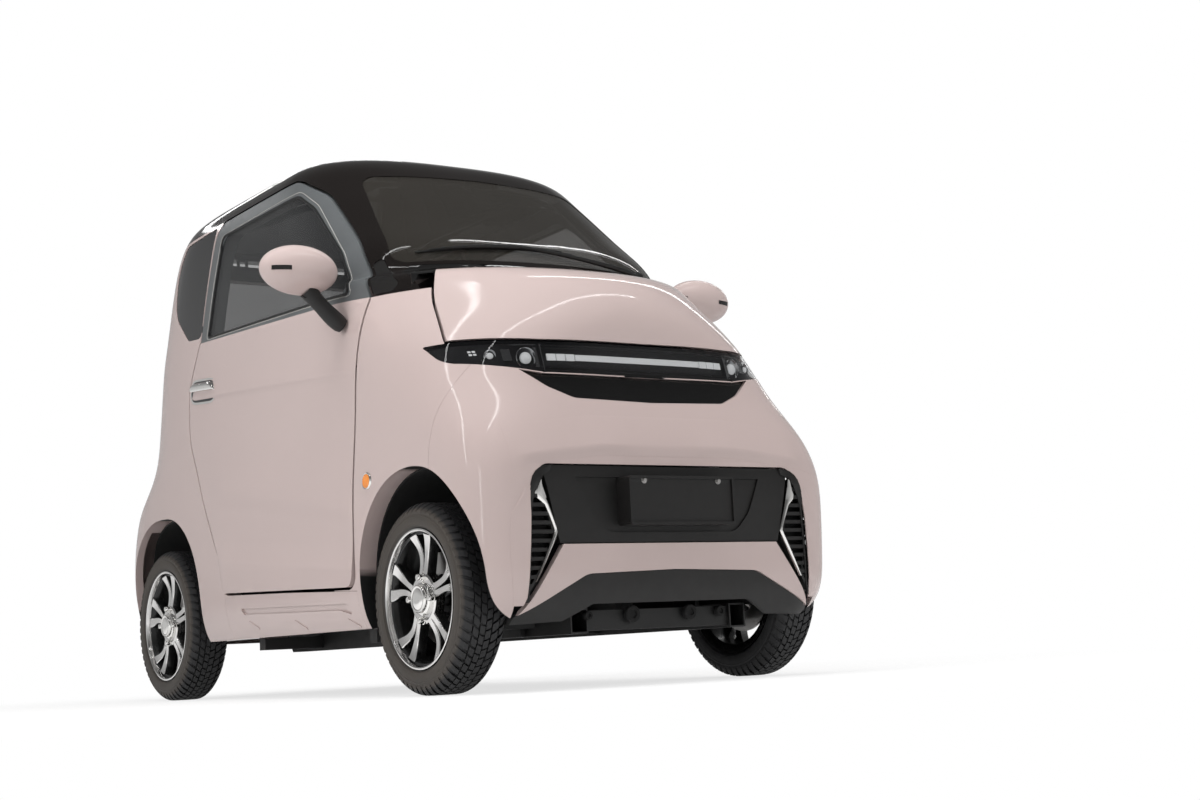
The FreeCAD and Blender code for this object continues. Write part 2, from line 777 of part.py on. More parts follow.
def floorPan():
    """Pressed floor with toe board, seat riser and luggage deck, drawn as one profile."""
    floor = size("FloorHeight")
    riser = size("SeatBaseHeight") - seatGap
    deck = size("DeckHeight")
    line = [(frontAxle + 205, 930), (frontAxle + 175, 560), (frontAxle + 330, 330), (frontAxle + 400, floor),
            (middle, floor), (middle + 5, riser), (middle + 650, riser), (middle + 655, deck),
            (rearAxle + 130, deck)]
    pan = prismX(strip(line, 6), -far, far).common(inset(size("WallThickness") + seatGap))
    besideDoors = slab(-far, far, middle - 575, middle + 600, sillTop - 30, 2 * belt)
    pan = pan.cut(besideDoors.cut(inset(size("WallThickness") + doorRoom)))
    for axle in (frontAxle, rearAxle):
        well = archHole(axle, seatGap, wheelWellDepth + 37)
        pan = pan.cut(well).cut(mirrored(well))
    return solidsOf(pan)


def railSide():
    """Half the clear width between the two frame rails."""
    return size("RailSpacing") / 2 - size("RailWidth") / 2


def chassisFrame():
    """Ladder frame of hollow rails that rise over the rear axle."""
    railWall = 4
    side = railSide()
    width = size("RailWidth")
    height = size("RailHeight")
    low = size("RailBottom")
    high = low + size("RearRailRise")
    line = [(frontAxle - 255, low), (rearAxle - 350, low), (rearAxle - 230, high), (rearAxle + 210, high)]
    top = [(y, z + height) for y, z in reversed(line)]
    rail = prismX(line + top, -side - width, -side)
    wallLine = strip([(y, z + height - railWall) for y, z in line], height - 2 * railWall)
    rail = rail.cut(prismX(wallLine, -side - width + railWall, -side - railWall))
    cross = []
    for y, z in ((frontAxle - 245, low), (frontAxle + 330, low), (middle + 62, low),
                 (rearAxle - 352, low), (rearAxle + 160, high)):
        cross.append(slab(-side, side, y, y + 36, z + 6, z + height - 6))
    outriggers = [slab(-450, -side - width, y, y + 40, low + 8, low + 42)
                  for y in (middle - 440, middle + 260)]
    return joined([rail, mirrored(rail)] + cross + outriggers + [mirrored(arm) for arm in outriggers])


def kingpinAt(level):
    """A point on the leaning steering axis of the right wheel."""
    lean = (size("KingpinX") - size("StrutTopX")) / 400
    return V(-size("KingpinX") + lean * (level - 160), frontAxle, level)


def frontSuspension():
    """Lower arms, strut towers and steering rack, all fixed to the frame."""
    frameSide = railSide() + size("RailWidth")
    foot = kingpinAt(156)
    play = size("BearingPlay")
    arm = prismZ([(-frameSide, frontAxle - 95), (-frameSide, frontAxle - 55), (-frameSide - 60, frontAxle),
                  (-frameSide, frontAxle + 55), (-frameSide, frontAxle + 95), (foot.x, frontAxle + 20, 8),
                  (foot.x - 18, frontAxle, 8), (foot.x, frontAxle - 20, 8)], 150, 162)
    ball = rod(18, kingpinAt(152), kingpinAt(172))
    pin = rod(size("PinRadius") - play, kingpinAt(160), kingpinAt(190))
    topX = kingpinAt(568).x
    tower = prismY([(-frameSide, 130), (-frameSide - 14, 130), (-frameSide - 14, 560), (topX - 30, 560, 10),
                    (topX - 30, 576, 10), (-frameSide, 576)], frontAxle - 50, frontAxle + 50)
    tower = tower.cut(rod(size("StemRadius") + play, kingpinAt(500), kingpinAt(620)))
    rackY = frontAxle + 95
    side = railSide()
    rack = rod(20, V(-180, rackY, 232), V(180, rackY, 232))
    boot = Part.makeCone(23, 13, 46, V(-180, rackY, 232), V(-1, 0, 0))
    feet = slab(-150, -120, rackY - 16, rackY + 16, 170, 232)
    bridge = slab(-side, side, rackY - 22, rackY + 22, 146, 172)
    half = joined([arm, ball, pin])
    centre = joined([rack, boot, mirrored(boot), feet, mirrored(feet), bridge])
    return Part.makeCompound([half, mirrored(half), tower, mirrored(tower), centre])


def knuckle():
    """Right steering knuckle with its strut, turning about the leaning kingpin axis."""
    play = size("BearingPlay")
    hubAt = kingpinAt(axleHeight)
    shapes = [
        rod(21, kingpinAt(174), kingpinAt(206)),
        rod(16, kingpinAt(200), kingpinAt(330)),
        rod(34, V(hubAt.x + 24, frontAxle, axleHeight), V(hubAt.x - 36, frontAxle, axleHeight)),
        rod(size("SpindleRadius") - play, hubAt, V(-halfTrack - 22, frontAxle, axleHeight)),
        rod(17, kingpinAt(320), kingpinAt(450)),
        rod(26, kingpinAt(410), kingpinAt(414)),
        rod(size("StemRadius"), kingpinAt(440), kingpinAt(572)),
        prismZ([(hubAt.x - 8, frontAxle + 8), (hubAt.x + 18, frontAxle + 8),
                (hubAt.x + 34, frontAxle + 92, 8), (hubAt.x + 12, frontAxle + 92, 8)], 192, 206),
    ]
    return joined(shapes).cut(rod(size("PinRadius"), kingpinAt(150), kingpinAt(190.5)))


def rearAxleBeam():
    """Driven axle with its motor, on two leaf springs under the frame."""
    play = size("BearingPlay")
    end = halfTrack - 54
    shapes = [
        rod(30, V(-end, rearAxle, axleHeight), V(end, rearAxle, axleHeight)),
        rod(86, V(-60, rearAxle, axleHeight), V(60, rearAxle, axleHeight)),
        rod(70, V(50, rearAxle - 40, axleHeight + 6), V(190, rearAxle - 40, axleHeight + 6)),
        rod(50, V(-end, rearAxle, axleHeight), V(-end + 12, rearAxle, axleHeight)),
        rod(50, V(end - 12, rearAxle, axleHeight), V(end, rearAxle, axleHeight)),
        rod(size("SpindleRadius") - play, V(-halfTrack - 22, rearAxle, axleHeight),
            V(halfTrack + 22, rearAxle, axleHeight)),
    ]
    railUnder = size("RailBottom") + size("RearRailRise")
    for side in (-1, 1):
        x = side * size("RailSpacing") / 2
        shapes.append(prismX([(rearAxle - 225, 262), (rearAxle, 199, 700), (rearAxle + 205, 262),
                              (rearAxle + 205, 272), (rearAxle, 209, 700), (rearAxle - 225, 272)],
                             x - 20, x + 20))
        for y in (rearAxle - 224, rearAxle + 190):
            shapes.append(slab(x - 18, x + 18, y, y + 14, 262, railUnder))
    return joined(shapes)


def battery():
    """One closed pack between the rails, under the seats."""
    halfPack = railSide() - seatGap
    low = size("RailBottom") + 6
    start = middle + 112
    box = slab(-halfPack, halfPack, start, start + size("BatteryLength"), low, low + size("BatteryHeight"))
    return box.makeFillet(12, [edge for edge in box.Edges if abs(edge.tangentAt(0).z) > 0.9])


def dashboard():
    profile = fromAxle(frontAxle, [(215, 640), (215, 1010), (260, 1040, 30), (420, 985, 40), (455, 905, 30),
                                   (400, 820, 30), (380, 640, 30)])
    form = prismX(profile, -far, far)
    besideDoors = slab(-far, far, frontAxle + 226, far, 0, 2 * belt)
    wall = size("WallThickness")
    roof = size("RoofThickness")
    wide = form.cut(besideDoors).common(inset(wall + seatGap, roof + seatGap))
    narrow = form.common(besideDoors).common(inset(wall + doorRoom, roof + doorRoom))
    form = joined([wide, narrow])
    hollow = fromAxle(frontAxle, [(216, 600), (216, 960), (390, 930, 30), (370, 800, 30), (350, 600)])
    form = form.cut(prismX(hollow, -halfWidth + 80, halfWidth - 80))
    column = rod(24, columnStart, columnEnd)
    shaft = rod(size("ShaftRadius") - size("BearingPlay"), columnEnd - columnAxis * 5,
                columnEnd + columnAxis * 24)
    return solidsOf(joined([form, column, shaft]))


def steeringWheel():
    radius = size("SteeringWheelRadius")
    centre = columnEnd + columnAxis * 30
    ring = Part.makeTorus(radius, 15, centre, columnAxis)
    hub = rod(38, centre - columnAxis * 29.5, centre + columnAxis * 14)
    down = alongX.cross(columnAxis)
    spokes = [rod(11, centre, centre + direction * radius) for direction in (alongX, alongX * -1, down)]
    bore = rod(size("ShaftRadius"), columnEnd - columnAxis * 10, columnEnd + columnAxis * 25)
    return joined([ring, hub] + spokes).cut(bore)


def seatCushion():
    half = size("SeatWidth") / 2
    shape = slab(-half, half, 0, size("SeatLength"), 0, size("CushionDepth"))
    shape = shape.makeFillet(30, shape.Edges)
    shape.translate(V(-driverX, seatFront, size("SeatBaseHeight")))
    return bothSides(shape)


def seatBack():
    """Leans back against the rear end of the cushion."""
    half = size("SeatWidth") / 2 - 6
    lean = math.radians(14)
    rounding = 32
    shape = slab(-half, half, 0, 95, 0, size("SeatBackHeight"))
    shape = shape.makeFillet(rounding, shape.Edges)
    shape.rotate(V(0, 0, 0), alongX, -math.degrees(lean))
    foremost = rounding * (math.sin(lean) + math.cos(lean) - 1)
    rear = seatFront + size("SeatLength")
    shape.translate(V(-driverX, rear + seatGap - foremost, size("SeatBaseHeight") + 25))
    return bothSides(shape)


def originOf(owner, role):
    return [item for item in owner.Origin.OriginFeatures if item.Role == role][0]


def setSketch(owner, name, role, corners):
    """A closed sketch of straight lines on one of the origin planes."""
    sketch = owner.newObject("Sketcher::SketchObject", name)
    sketch.AttachmentSupport = [(originOf(owner, role), "")]
    sketch.MapMode = "FlatFace"
    count = len(corners)
    for index in range(count):
        first = V(corners[index][0], corners[index][1], 0)
        second = V(corners[(index + 1) % count][0], corners[(index + 1) % count][1], 0)
        sketch.addGeometry(Part.LineSegment(first, second), False)
    return sketch


def turnedBody(label, section):
    """A body with one section turned about its own X axis."""
    piece = doc.addObject("PartDesign::Body", label)
    sketch = setSketch(piece, label + "Section", "XZ_Plane", section)
    turn = piece.newObject("PartDesign::Revolution", label + "Turn")
    turn.Profile = sketch
    turn.ReferenceAxis = (sketch, ["H_Axis"])
    turn.Angle = 360
    doc.recompute()
    return piece


def tyre(label, placement):
    """Tyre section with three grooves."""
    half = size("TyreWidth") / 2
    radius = size("TyreRadius")
    bead = size("RimRadius") - 9
    section = [(-half + 18.5, bead), (-half + 15.5, bead + 13), (-half + 6, bead + 15), (-half, bead + 34),
               (-half + 5, radius - 18),
               (-half + 15, radius - 4), (-half + 26, radius), (-26, radius), (-26, radius - 6),
               (-20, radius - 6),
               (-20, radius), (-3, radius), (-3, radius - 6), (3, radius - 6), (3, radius), (20, radius),
               (20, radius - 6), (26, radius - 6), (26, radius),
               (half - 26, radius), (half - 15, radius - 4), (half - 5, radius - 18), (half, bead + 34),
               (half - 6, bead + 15), (half - 15.5, bead + 13), (half - 18.5, bead)]
    piece = turnedBody(label, section)
    piece.Placement = placement
    return piece


def rim(label, placement):
    """Alloy rim: turned barrel, dish and hub with the brake disc, windows cut between twin spokes."""
    bead = size("RimRadius") - 9
    lipX = size("RimWidth") / 2
    face = lipX - size("RimDish")
    spindle = size("SpindleRadius")
    hub = size("HubRadius")
    piece = turnedBody(label, [
        (-lipX, bead + 12), (-lipX, bead + 3), (-lipX + 4, bead - 6), (-6, bead - 26), (face - 26, bead - 28),
        (face - 26, hub + 6), (face - 34, hub), (-6, hub), (-6, 96), (-14, 96), (-14, spindle),
        (face - 4, spindle), (face - 4, 0), (face + 14, 0), (face + 14, 27), (face + 8, 30), (face - 4, 34),
        (face - 4, hub + 4), (face + 6, hub + 14), (face + 2, 110), (face - 6, bead - 14),
        (lipX - 2, bead - 8), (lipX + 2, bead - 4), (lipX + 2, bead + 12), (lipX - 8, bead + 12),
        (lipX - 11, bead - 0.5), (-lipX + 11, bead - 0.5), (-lipX + 8, bead + 12),
    ])
    inner = hub + 12
    outer = bead - 20
    for name, centre, innerHalf, outerHalf in (("Wide", 36, 11, 20), ("Slim", 0, 3.5, 7.5)):
        corners = []
        for radius, half, turn in ((inner, innerHalf, 1), (outer, outerHalf, -1)):
            for angle in (centre - turn * half, centre, centre + turn * half):
                radians = math.radians(angle)
                corners.append((radius * math.cos(radians), radius * math.sin(radians)))
        pocket = piece.newObject("PartDesign::Pocket", label + name + "Pocket")
        pocket.Profile = setSketch(piece, label + name, "YZ_Plane", corners)
        pocket.Type = 0
        pocket.setExpression("Length", "Sizes.RimWidth / 2 + 20")
        pocket.Reversed = True
        doc.recompute()
        pattern = piece.newObject("PartDesign::PolarPattern", label + name + "Pattern")
        pattern.Originals = [pocket]
        pattern.Axis = (originOf(piece, "X_Axis"), [""])
        pattern.Angle = 360
        pattern.setExpression("Occurrences", "Sizes.SpokePairs")
        piece.Tip = pattern
        doc.recompute()
    piece.Placement = placement
    return piece


def plateHolder():
    """Raised frame round a blank plate face."""
    width = size("PlateWidth")
    height = size("PlateHeight")
    low = 380
    rim = 7
    blank = doc.addObject("Part::Box", "PlateBlank")
    blank.setExpression("Length", "Sizes.PlateWidth")
    blank.setExpression("Height", "Sizes.PlateHeight")
    blank.Width = 60
    blank.Placement = FreeCAD.Placement(V(-width / 2, -carLength / 2, low), FreeCAD.Rotation())
    doc.recompute()
    block = blank.Shape.copy()
    block = block.makeFillet(10, [edge for edge in block.Edges if abs(edge.tangentAt(0).y) > 0.9])
    recess = slab(-width / 2 + rim, width / 2 - rim, -far, -carLength / 2 + 5, low + rim, low + height - rim)
    return solidsOf(block.cut(recess).cut(inset(panelRecessDepth - 0.1)))


addPiece("roof_panel", roofPanel())
addPiece("cowl_panel", cowlPanel())
addPiece("windscreen", windscreen())
fender = frontFender()
addPiece("front_fenders", bothSides(fender))
bumperHalf = frontBumper()
addPiece("front_bumper", Part.makeCompound([fullWidth(bumperHalf), chinStrip()]))
addPiece("sills", bothSides(sill()))
quarter = rearQuarter()
addPiece("rear_quarters", fullWidth(quarter))
addPiece("rear_bumper", rearBumper())
addPiece("tail_lamps", bothSides(tailLamp()))
addPiece("bonnet", bonnet())
addPiece("lamp_bar", lampBar())
addPiece("mouth_panel", mouthPanel())
addPiece("lower_grille", lowerGrille())
addPiece("corner_blades", blade())
addPiece("plate_holder", plateHolder())
addPiece("quarter_glass", quarterGlass())
addPiece("front_triangles", frontTriangle())
addPiece("hatch", hatch())
addPiece("hatch_glass", hatchGlass())
addPiece("wiper", wiper())
addPiece("side_markers", sideMarkers())
for name, shape in (("panel", doorPanel()), ("frame", doorFrame()), ("glass", doorGlass()),
                    ("handle", doorHandle()), ("mirror", mirrorShell())):
    addPiece("door_r_" + name, shape)
    addPiece("door_l_" + name, mirrored(shape))
print("panels ready")
addPiece("arch_liners", archLiners())
addPiece("floor_pan", floorPan())
addPiece("chassis_frame", chassisFrame())
addPiece("front_suspension", frontSuspension())
addPiece("rear_axle", rearAxleBeam())
addPiece("battery_pack", battery())
rightKnuckle = knuckle()
addPiece("knuckle_r", rightKnuckle)
addPiece("knuckle_l", mirrored(rightKnuckle))
addPiece("dashboard", dashboard())
addPiece("steering_wheel", steeringWheel())
addPiece("seat_cushions", seatCushion())
addPiece("seat_backs", seatBack())
for name, x, y, turn in (("fr", -halfTrack, frontAxle, 180), ("fl", halfTrack, frontAxle, 0),
                         ("rr", -halfTrack, rearAxle, 180), ("rl", halfTrack, rearAxle, 0)):
    place = FreeCAD.Placement(V(x, y, axleHeight), FreeCAD.Rotation(alongZ, turn))
    pieces["rim_" + name] = rim("rim_" + name, place)
    pieces["tyre_" + name] = tyre("tyre_" + name, place)

doc.recompute()
for item in doc.Objects:
    if "Invalid" in item.State or "Error" in item.State:
        raise RuntimeError("%s did not compute" % item.Label)
for label, piece in pieces.items():
    if piece.Shape.isNull() or not piece.Shape.isValid():
        raise RuntimeError("%s is not a valid solid" % label)
os.makedirs("parts", exist_ok=True)
for label, piece in pieces.items():
    piece.Shape.exportStep("parts/%s.step" % label)
    print(label, len(piece.Shape.Solids), round(piece.Shape.Volume / 1e6, 3))
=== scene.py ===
import math

import bmesh
import bpy
import numpy
from mathutils import Matrix, Vector
from mathutils.bvhtree import BVHTree
from mathutils.geometry import delaunay_2d_cdt


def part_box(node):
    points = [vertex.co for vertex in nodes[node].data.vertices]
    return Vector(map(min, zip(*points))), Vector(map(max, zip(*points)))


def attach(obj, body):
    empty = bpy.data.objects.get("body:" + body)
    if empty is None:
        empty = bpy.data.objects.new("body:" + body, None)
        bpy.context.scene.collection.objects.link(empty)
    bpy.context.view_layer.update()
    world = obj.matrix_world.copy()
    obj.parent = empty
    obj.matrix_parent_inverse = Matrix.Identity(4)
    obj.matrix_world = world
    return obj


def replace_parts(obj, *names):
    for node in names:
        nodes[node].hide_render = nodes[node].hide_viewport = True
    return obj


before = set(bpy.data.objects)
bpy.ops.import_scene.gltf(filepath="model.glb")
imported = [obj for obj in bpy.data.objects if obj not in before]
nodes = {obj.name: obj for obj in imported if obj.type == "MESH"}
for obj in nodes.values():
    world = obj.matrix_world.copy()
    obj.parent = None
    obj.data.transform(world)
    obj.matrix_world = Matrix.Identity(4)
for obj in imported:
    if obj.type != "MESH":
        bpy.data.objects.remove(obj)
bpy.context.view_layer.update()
print("frame loaded")

# places on the car, in metres
axleZ = 0.233
halfTrack = 0.4775
wheelSpots = {
    "fr": {"side": -1, "y": -0.8125}, "fl": {"side": 1, "y": -0.8125},
    "rr": {"side": -1, "y": 0.8275}, "rl": {"side": 1, "y": 0.8275},
}
archSpots = [{"y": -0.8185, "half": 0.276, "top": 0.552}, {"y": 0.7995, "half": 0.298, "top": 0.562}]
bothSides = ((-1, "r"), (1, "l"))


# shader maths: a wrapped socket that adds its own Math nodes
class Wire:
    def __init__(self, tree, socket):
        self.tree = tree
        self.socket = socket

    def math(self, operation, *others):
        node = self.tree.nodes.new("ShaderNodeMath")
        node.operation = operation
        for index, value in enumerate((self,) + others):
            if isinstance(value, Wire):
                self.tree.links.new(value.socket, node.inputs[index])
            else:
                node.inputs[index].default_value = value
        return Wire(self.tree, node.outputs[0])

    def __add__(self, other):
        return self.math("ADD", other)

    def __mul__(self, other):
        return self.math("MULTIPLY", other)

    def __sub__(self, other):
        return self.math("SUBTRACT", other)

    def __rsub__(self, other):
        return self.math("MULTIPLY_ADD", -1.0, other)

    def clamped(self):
        return self.math("MINIMUM", 1.0).math("MAXIMUM", 0.0)

    def above(self, level, width):
        return ((self - level) * (1.0 / width) + 0.5).clamped()

    def below(self, level, width):
        return 1.0 - self.above(level, width)


# a node tree, with one method that adds any node
class Nodes:
    def __init__(self, tree):
        self.tree = tree
        self.tree.nodes.clear()

    def feed(self, socket, value):
        value = value.socket if isinstance(value, Wire) else value
        if isinstance(value, bpy.types.NodeSocket):
            self.tree.links.new(value, socket)
        else:
            socket.default_value = value

    def add(self, kind, settings=None, sockets=None):
        node = self.tree.nodes.new(kind)
        for name, value in (settings or {}).items():
            setattr(node, name, value)
        for name, value in (sockets or {}).items():
            self.feed(node.inputs[name], value)
        return node

    def wire(self, kind, output=0, sockets=None):
        return Wire(self.tree, self.add(kind, None, sockets).outputs[output])


# a material round one Principled shader
class Finish(Nodes):
    def __init__(self, name, **constants):
        self.material = bpy.data.materials.new(name)
        self.material.use_nodes = True
        super().__init__(self.material.node_tree)
        self.shader = self.add("ShaderNodeBsdfPrincipled")
        self.add("ShaderNodeOutputMaterial", None, {0: self.shader.outputs[0]})
        self.place = self.add("ShaderNodeTexCoord").outputs["Object"]
        for name, value in constants.items():
            self.put(name.replace("_", " "), value)

    def put(self, name, value):
        self.feed(self.shader.inputs[name], value)

    def noise(self, scale, detail=3.0, rough=0.5):
        return self.wire("ShaderNodeTexNoise", "Fac", {"Vector": self.place, "Scale": scale, "Detail": detail,
                                                       "Roughness": rough})

    def axis(self, index, place=None):
        return self.wire("ShaderNodeSeparateXYZ", index, {0: place or self.place})

    def blend(self, factor, first, second):
        return self.add("ShaderNodeMix", {"data_type": "RGBA"}, {0: factor, 6: first, 7: second}).outputs[2]

    def clouded(self, factor, colour, dark, light):
        # a base colour that drifts between two shades of itself
        self.put("Base Color", self.blend(factor, shade(colour, dark), shade(colour, light)))

    def bump(self, height, distance):
        node = self.add("ShaderNodeBump", None, {"Height": height, "Distance": distance})
        self.put("Normal", node.outputs[0])


def shade(colour, factor):
    return tuple(min(channel * factor, 1.0) for channel in colour[:3]) + (1.0,)


# what a user would change about the finishes
finishLook = {
    "bodyPaint": (0.475, 0.385, 0.368), "roofPaint": (0.006, 0.0045, 0.004),
    "matteTrim": (0.0065, 0.006, 0.0058),
    "rubber": (0.012, 0.012, 0.013), "roadDust": (0.062, 0.052, 0.043), "alloy": (0.78, 0.77, 0.76),
    "chrome": (0.86, 0.85, 0.83), "archBlack": (0.006, 0.006, 0.006),
    "lacquerIOR": 1.55, "lacquerRoughness": 0.07,
}


def glossPaint(name, colour, roughness, drift):
    paint = Finish(name, IOR=finishLook["lacquerIOR"], Roughness=roughness)
    paint.clouded(paint.noise(3.0, 2.0), colour, 1 - drift, 1 + drift)
    paint.put("Roughness", paint.noise(60.0, 2.0) * 0.03 + roughness)
    paint.bump(paint.noise(500.0, 1.0), 0.00001)
    return paint.material


def grainedPlastic(name, colour, roughness, grain, depth):
    trim = Finish(name)
    trim.clouded(trim.noise(8.0, 4.0), colour, 0.8, 1.25)
    trim.put("Roughness", trim.noise(40.0, 3.0) * 0.12 + roughness)
    trim.bump(trim.noise(grain, 2.0), depth)
    return trim.material


def brightMetal(name, colour, roughness, scratch=0.00002):
    metal = Finish(name, Metallic=1.0)
    metal.clouded(metal.noise(30.0, 4.0), colour, 0.93, 1.05)
    metal.put("Roughness", metal.noise(120.0, 3.0) * 0.1 + roughness)
    metal.bump(metal.noise(260.0, 2.0), scratch)
    return metal.material


def carGlass(name, colour, alpha):
    pane = Finish(name, IOR=1.5, Specular_IOR_Level=0.8)
    cloud = pane.noise(2.0, 2.0)
    pane.clouded(cloud, colour, 0.85, 1.15)
    pane.put("Roughness", pane.noise(20.0, 2.0) * 0.02 + 0.01)
    pane.put("Alpha", cloud * 0.02 + alpha)
    return pane.material


def insideArches(paint):
    # 1 on the wall of a wheel arch, which is left black
    y = paint.axis(1)
    z = paint.axis(2)
    mask = 0.0
    for arch in archSpots:
        along = y - arch["y"]
        up = (z - (arch["top"] - arch["half"])).math("MAXIMUM", 0.0)
        mask = (along * along + up * up).math("SQRT").below(arch["half"] + 0.0012, 0.0008) + mask
    return mask.clamped() * paint.axis(0).math("ABSOLUTE").above(0.3, 0.001)


def bodyLacquer(name, colour):
    roughness = finishLook["lacquerRoughness"]
    paint = Finish(name, IOR=finishLook["lacquerIOR"], Roughness=roughness)
    lacquer = paint.blend(paint.noise(3.0, 2.0), shade(colour, 0.98), shade(colour, 1.02))
    arches = insideArches(paint)
    paint.put("Base Color", paint.blend(arches, lacquer, shade(finishLook["archBlack"], 1)))
    paint.put("Roughness", paint.noise(60.0, 2.0) * 0.03 + arches * 0.45 + roughness)
    paint.bump(paint.noise(500.0, 1.0), 0.00001)
    return paint.material


bodyPaint = bodyLacquer("bodyPaint", finishLook["bodyPaint"])
roofPaint = glossPaint("roofPaint", finishLook["roofPaint"], 0.04, 0.15)
glossTrim = glossPaint("glossTrim", (0.005, 0.005, 0.005), 0.06, 0.1)
matteTrim = grainedPlastic("matteTrim", finishLook["matteTrim"], 0.5, 900.0, 0.0001)
doorTrim = grainedPlastic("doorTrim", (0.085, 0.091, 0.094), 0.27, 1200.0, 0.00004)
cabinTrim = grainedPlastic("cabinTrim", (0.03, 0.03, 0.032), 0.6, 700.0, 0.0002)
chassisPaint = grainedPlastic("chassisPaint", (0.008, 0.008, 0.008), 0.48, 300.0, 0.0002)
linerPlastic = grainedPlastic("linerPlastic", (0.005, 0.005, 0.005), 0.75, 200.0, 0.0004)
packPlastic = grainedPlastic("packPlastic", (0.05, 0.05, 0.052), 0.6, 400.0, 0.0002)
sealGrey = grainedPlastic("sealGrey", (0.34, 0.33, 0.31), 0.35, 500.0, 0.00003)
sealBlack = grainedPlastic("sealBlack", (0.008, 0.008, 0.008), 0.45, 500.0, 0.00005)
chrome = brightMetal("chrome", finishLook["chrome"], 0.04)
alloyDark = glossPaint("alloyDark", (0.006, 0.006, 0.006), 0.22, 0.1)
steel = brightMetal("steel", (0.45, 0.44, 0.43), 0.28, 0.00005)
mirrorGlass = brightMetal("mirrorGlass", (0.8, 0.82, 0.84), 0.02, 0.000002)
frontGlass = carGlass("frontGlass", (0.03, 0.027, 0.023), 0.58)
sideGlass = carGlass("sideGlass", (0.03, 0.031, 0.032), 0.45)
darkGlass = carGlass("darkGlass", (0.005, 0.005, 0.006), 0.93)
lampLens = carGlass("lampLens", (0.006, 0.006, 0.007), 0.42)
lampChrome = brightMetal("lampChrome", (0.62, 0.63, 0.64), 0.12)
lampBlack = glossPaint("lampBlack", (0.01, 0.01, 0.011), 0.35, 0.1)
tailLens = glossPaint("tailLens", (0.42, 0.012, 0.01), 0.1, 0.12)
tailGlow = glossPaint("tailGlow", (0.8, 0.05, 0.04), 0.06, 0.1)
amberLens = glossPaint("amberLens", (0.75, 0.26, 0.05), 0.12, 0.12)

wearList = {
    bodyPaint: ["front_fenders", "front_bumper", "sills", "rear_quarters", "rear_bumper", "bonnet", "hatch",
                "door_r_panel", "door_l_panel"],
    roofPaint: ["roof_panel"],
    glossTrim: ["cowl_panel", "mouth_panel", "wiper"],
    matteTrim: ["lower_grille", "plate_holder", "front_triangles"],
    doorTrim: ["door_r_frame", "door_l_frame"],
    chrome: ["corner_blades", "door_r_handle", "door_l_handle"],
    frontGlass: ["windscreen"],
    sideGlass: ["door_r_glass", "door_l_glass", "hatch_glass"],
    darkGlass: ["quarter_glass"],
    lampLens: ["lamp_bar"],
    tailLens: ["tail_lamps"],
    amberLens: ["side_markers"],
    linerPlastic: ["arch_liners", "floor_pan"],
    chassisPaint: ["chassis_frame", "front_suspension", "rear_axle", "knuckle_r", "knuckle_l"],
    packPlastic: ["battery_pack"],
    cabinTrim: ["dashboard", "steering_wheel", "seat_cushions", "seat_backs"],
}
for material, names in wearList.items():
    for name in names:
        mesh = nodes[name].data
        mesh.materials.clear()
        mesh.materials.append(material)
print("car finishes set")


# making meshes: a form is a list of vertices and a list of faces
def linked(name, data):
    item = bpy.data.objects.new(name, data)
    bpy.context.scene.collection.objects.link(item)
    return item


def meshPiece(name, form, material, body="car_body", smooth=35, faceSlots=None):
    mesh = bpy.data.meshes.new(name)
    mesh.from_pydata([tuple(v) for v in form[0]], [], form[1])
    for item in (material if isinstance(material, list) else [material]):
        mesh.materials.append(item)
    if faceSlots:
        mesh.polygons.foreach_set("material_index", faceSlots)
    builder = bmesh.new()
    builder.from_mesh(mesh)
    bmesh.ops.remove_doubles(builder, verts=builder.verts, dist=0.000002)
    bmesh.ops.recalc_face_normals(builder, faces=builder.faces)
    builder.to_mesh(mesh)
    builder.free()
    piece = linked(name, mesh)
    for face in mesh.polygons:
        face.use_smooth = True
    mesh.set_sharp_from_angle(angle=math.radians(smooth))
    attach(piece, body)
    return piece


def joined(forms):
    vertices = []
    faces = []
    for part, partFaces in forms:
        offset = len(vertices)
        vertices += part
        faces += [tuple(i + offset for i in face) for face in partFaces]
    return vertices, faces


def turned(profile, segments, closed=True):
    # profile is (along the axle, radius); the axle is X
    count = len(profile)
    vertices = []
    faces = []
    for step in range(segments):
        angle = 2 * math.pi * step / segments
        following = (step + 1) % segments
        vertices += [(along, radius * math.sin(angle), radius * math.cos(angle)) for along, radius in profile]
        for index in range(count if closed else count - 1):
            after = (index + 1) % count
            faces.append((step * count + index, step * count + after, following * count + after,
                          following * count + index))
    return vertices, faces


def turnedAt(point, axis, profile, segments):
    # a turned form that stands on a point and looks along an axis
    vertices, faces = turned(profile, segments, closed=False)
    turn = Vector((1, 0, 0)).rotation_difference(Vector(axis).normalized()).to_matrix()
    return [tuple(turn @ Vector(v) + Vector(point)) for v in vertices], faces


def shell(columns, rows, point):
    # a closed sheet of two grids joined round their rim; point gives a place by column, row and layer
    vertices = [point(column, row, layer) for layer in (0, 1) for column in range(columns + 1)
                for row in range(rows + 1)]
    count = (columns + 1) * (rows + 1)
    faces = []
    for column in range(columns):
        for row in range(rows):
            first = column * (rows + 1) + row
            quad = (first, first + 1, first + rows + 2, first + rows + 1)
            faces += [quad, tuple(i + count for i in quad[::-1])]
    rim = [column * (rows + 1) for column in range(columns + 1)]
    rim += [columns * (rows + 1) + row for row in range(1, rows + 1)]
    rim += [column * (rows + 1) + rows for column in range(columns - 1, -1, -1)]
    rim += [row for row in range(rows - 1, 0, -1)]
    faces += [(first, second, second + count, first + count) for first, second in zip(rim, rim[1:] + rim[:1])]
    return vertices, faces


def atWheel(vertices, spot):
    return [(spot["side"] * (halfTrack + v[0]), v[1] + spot["y"], v[2] + axleZ) for v in vertices]


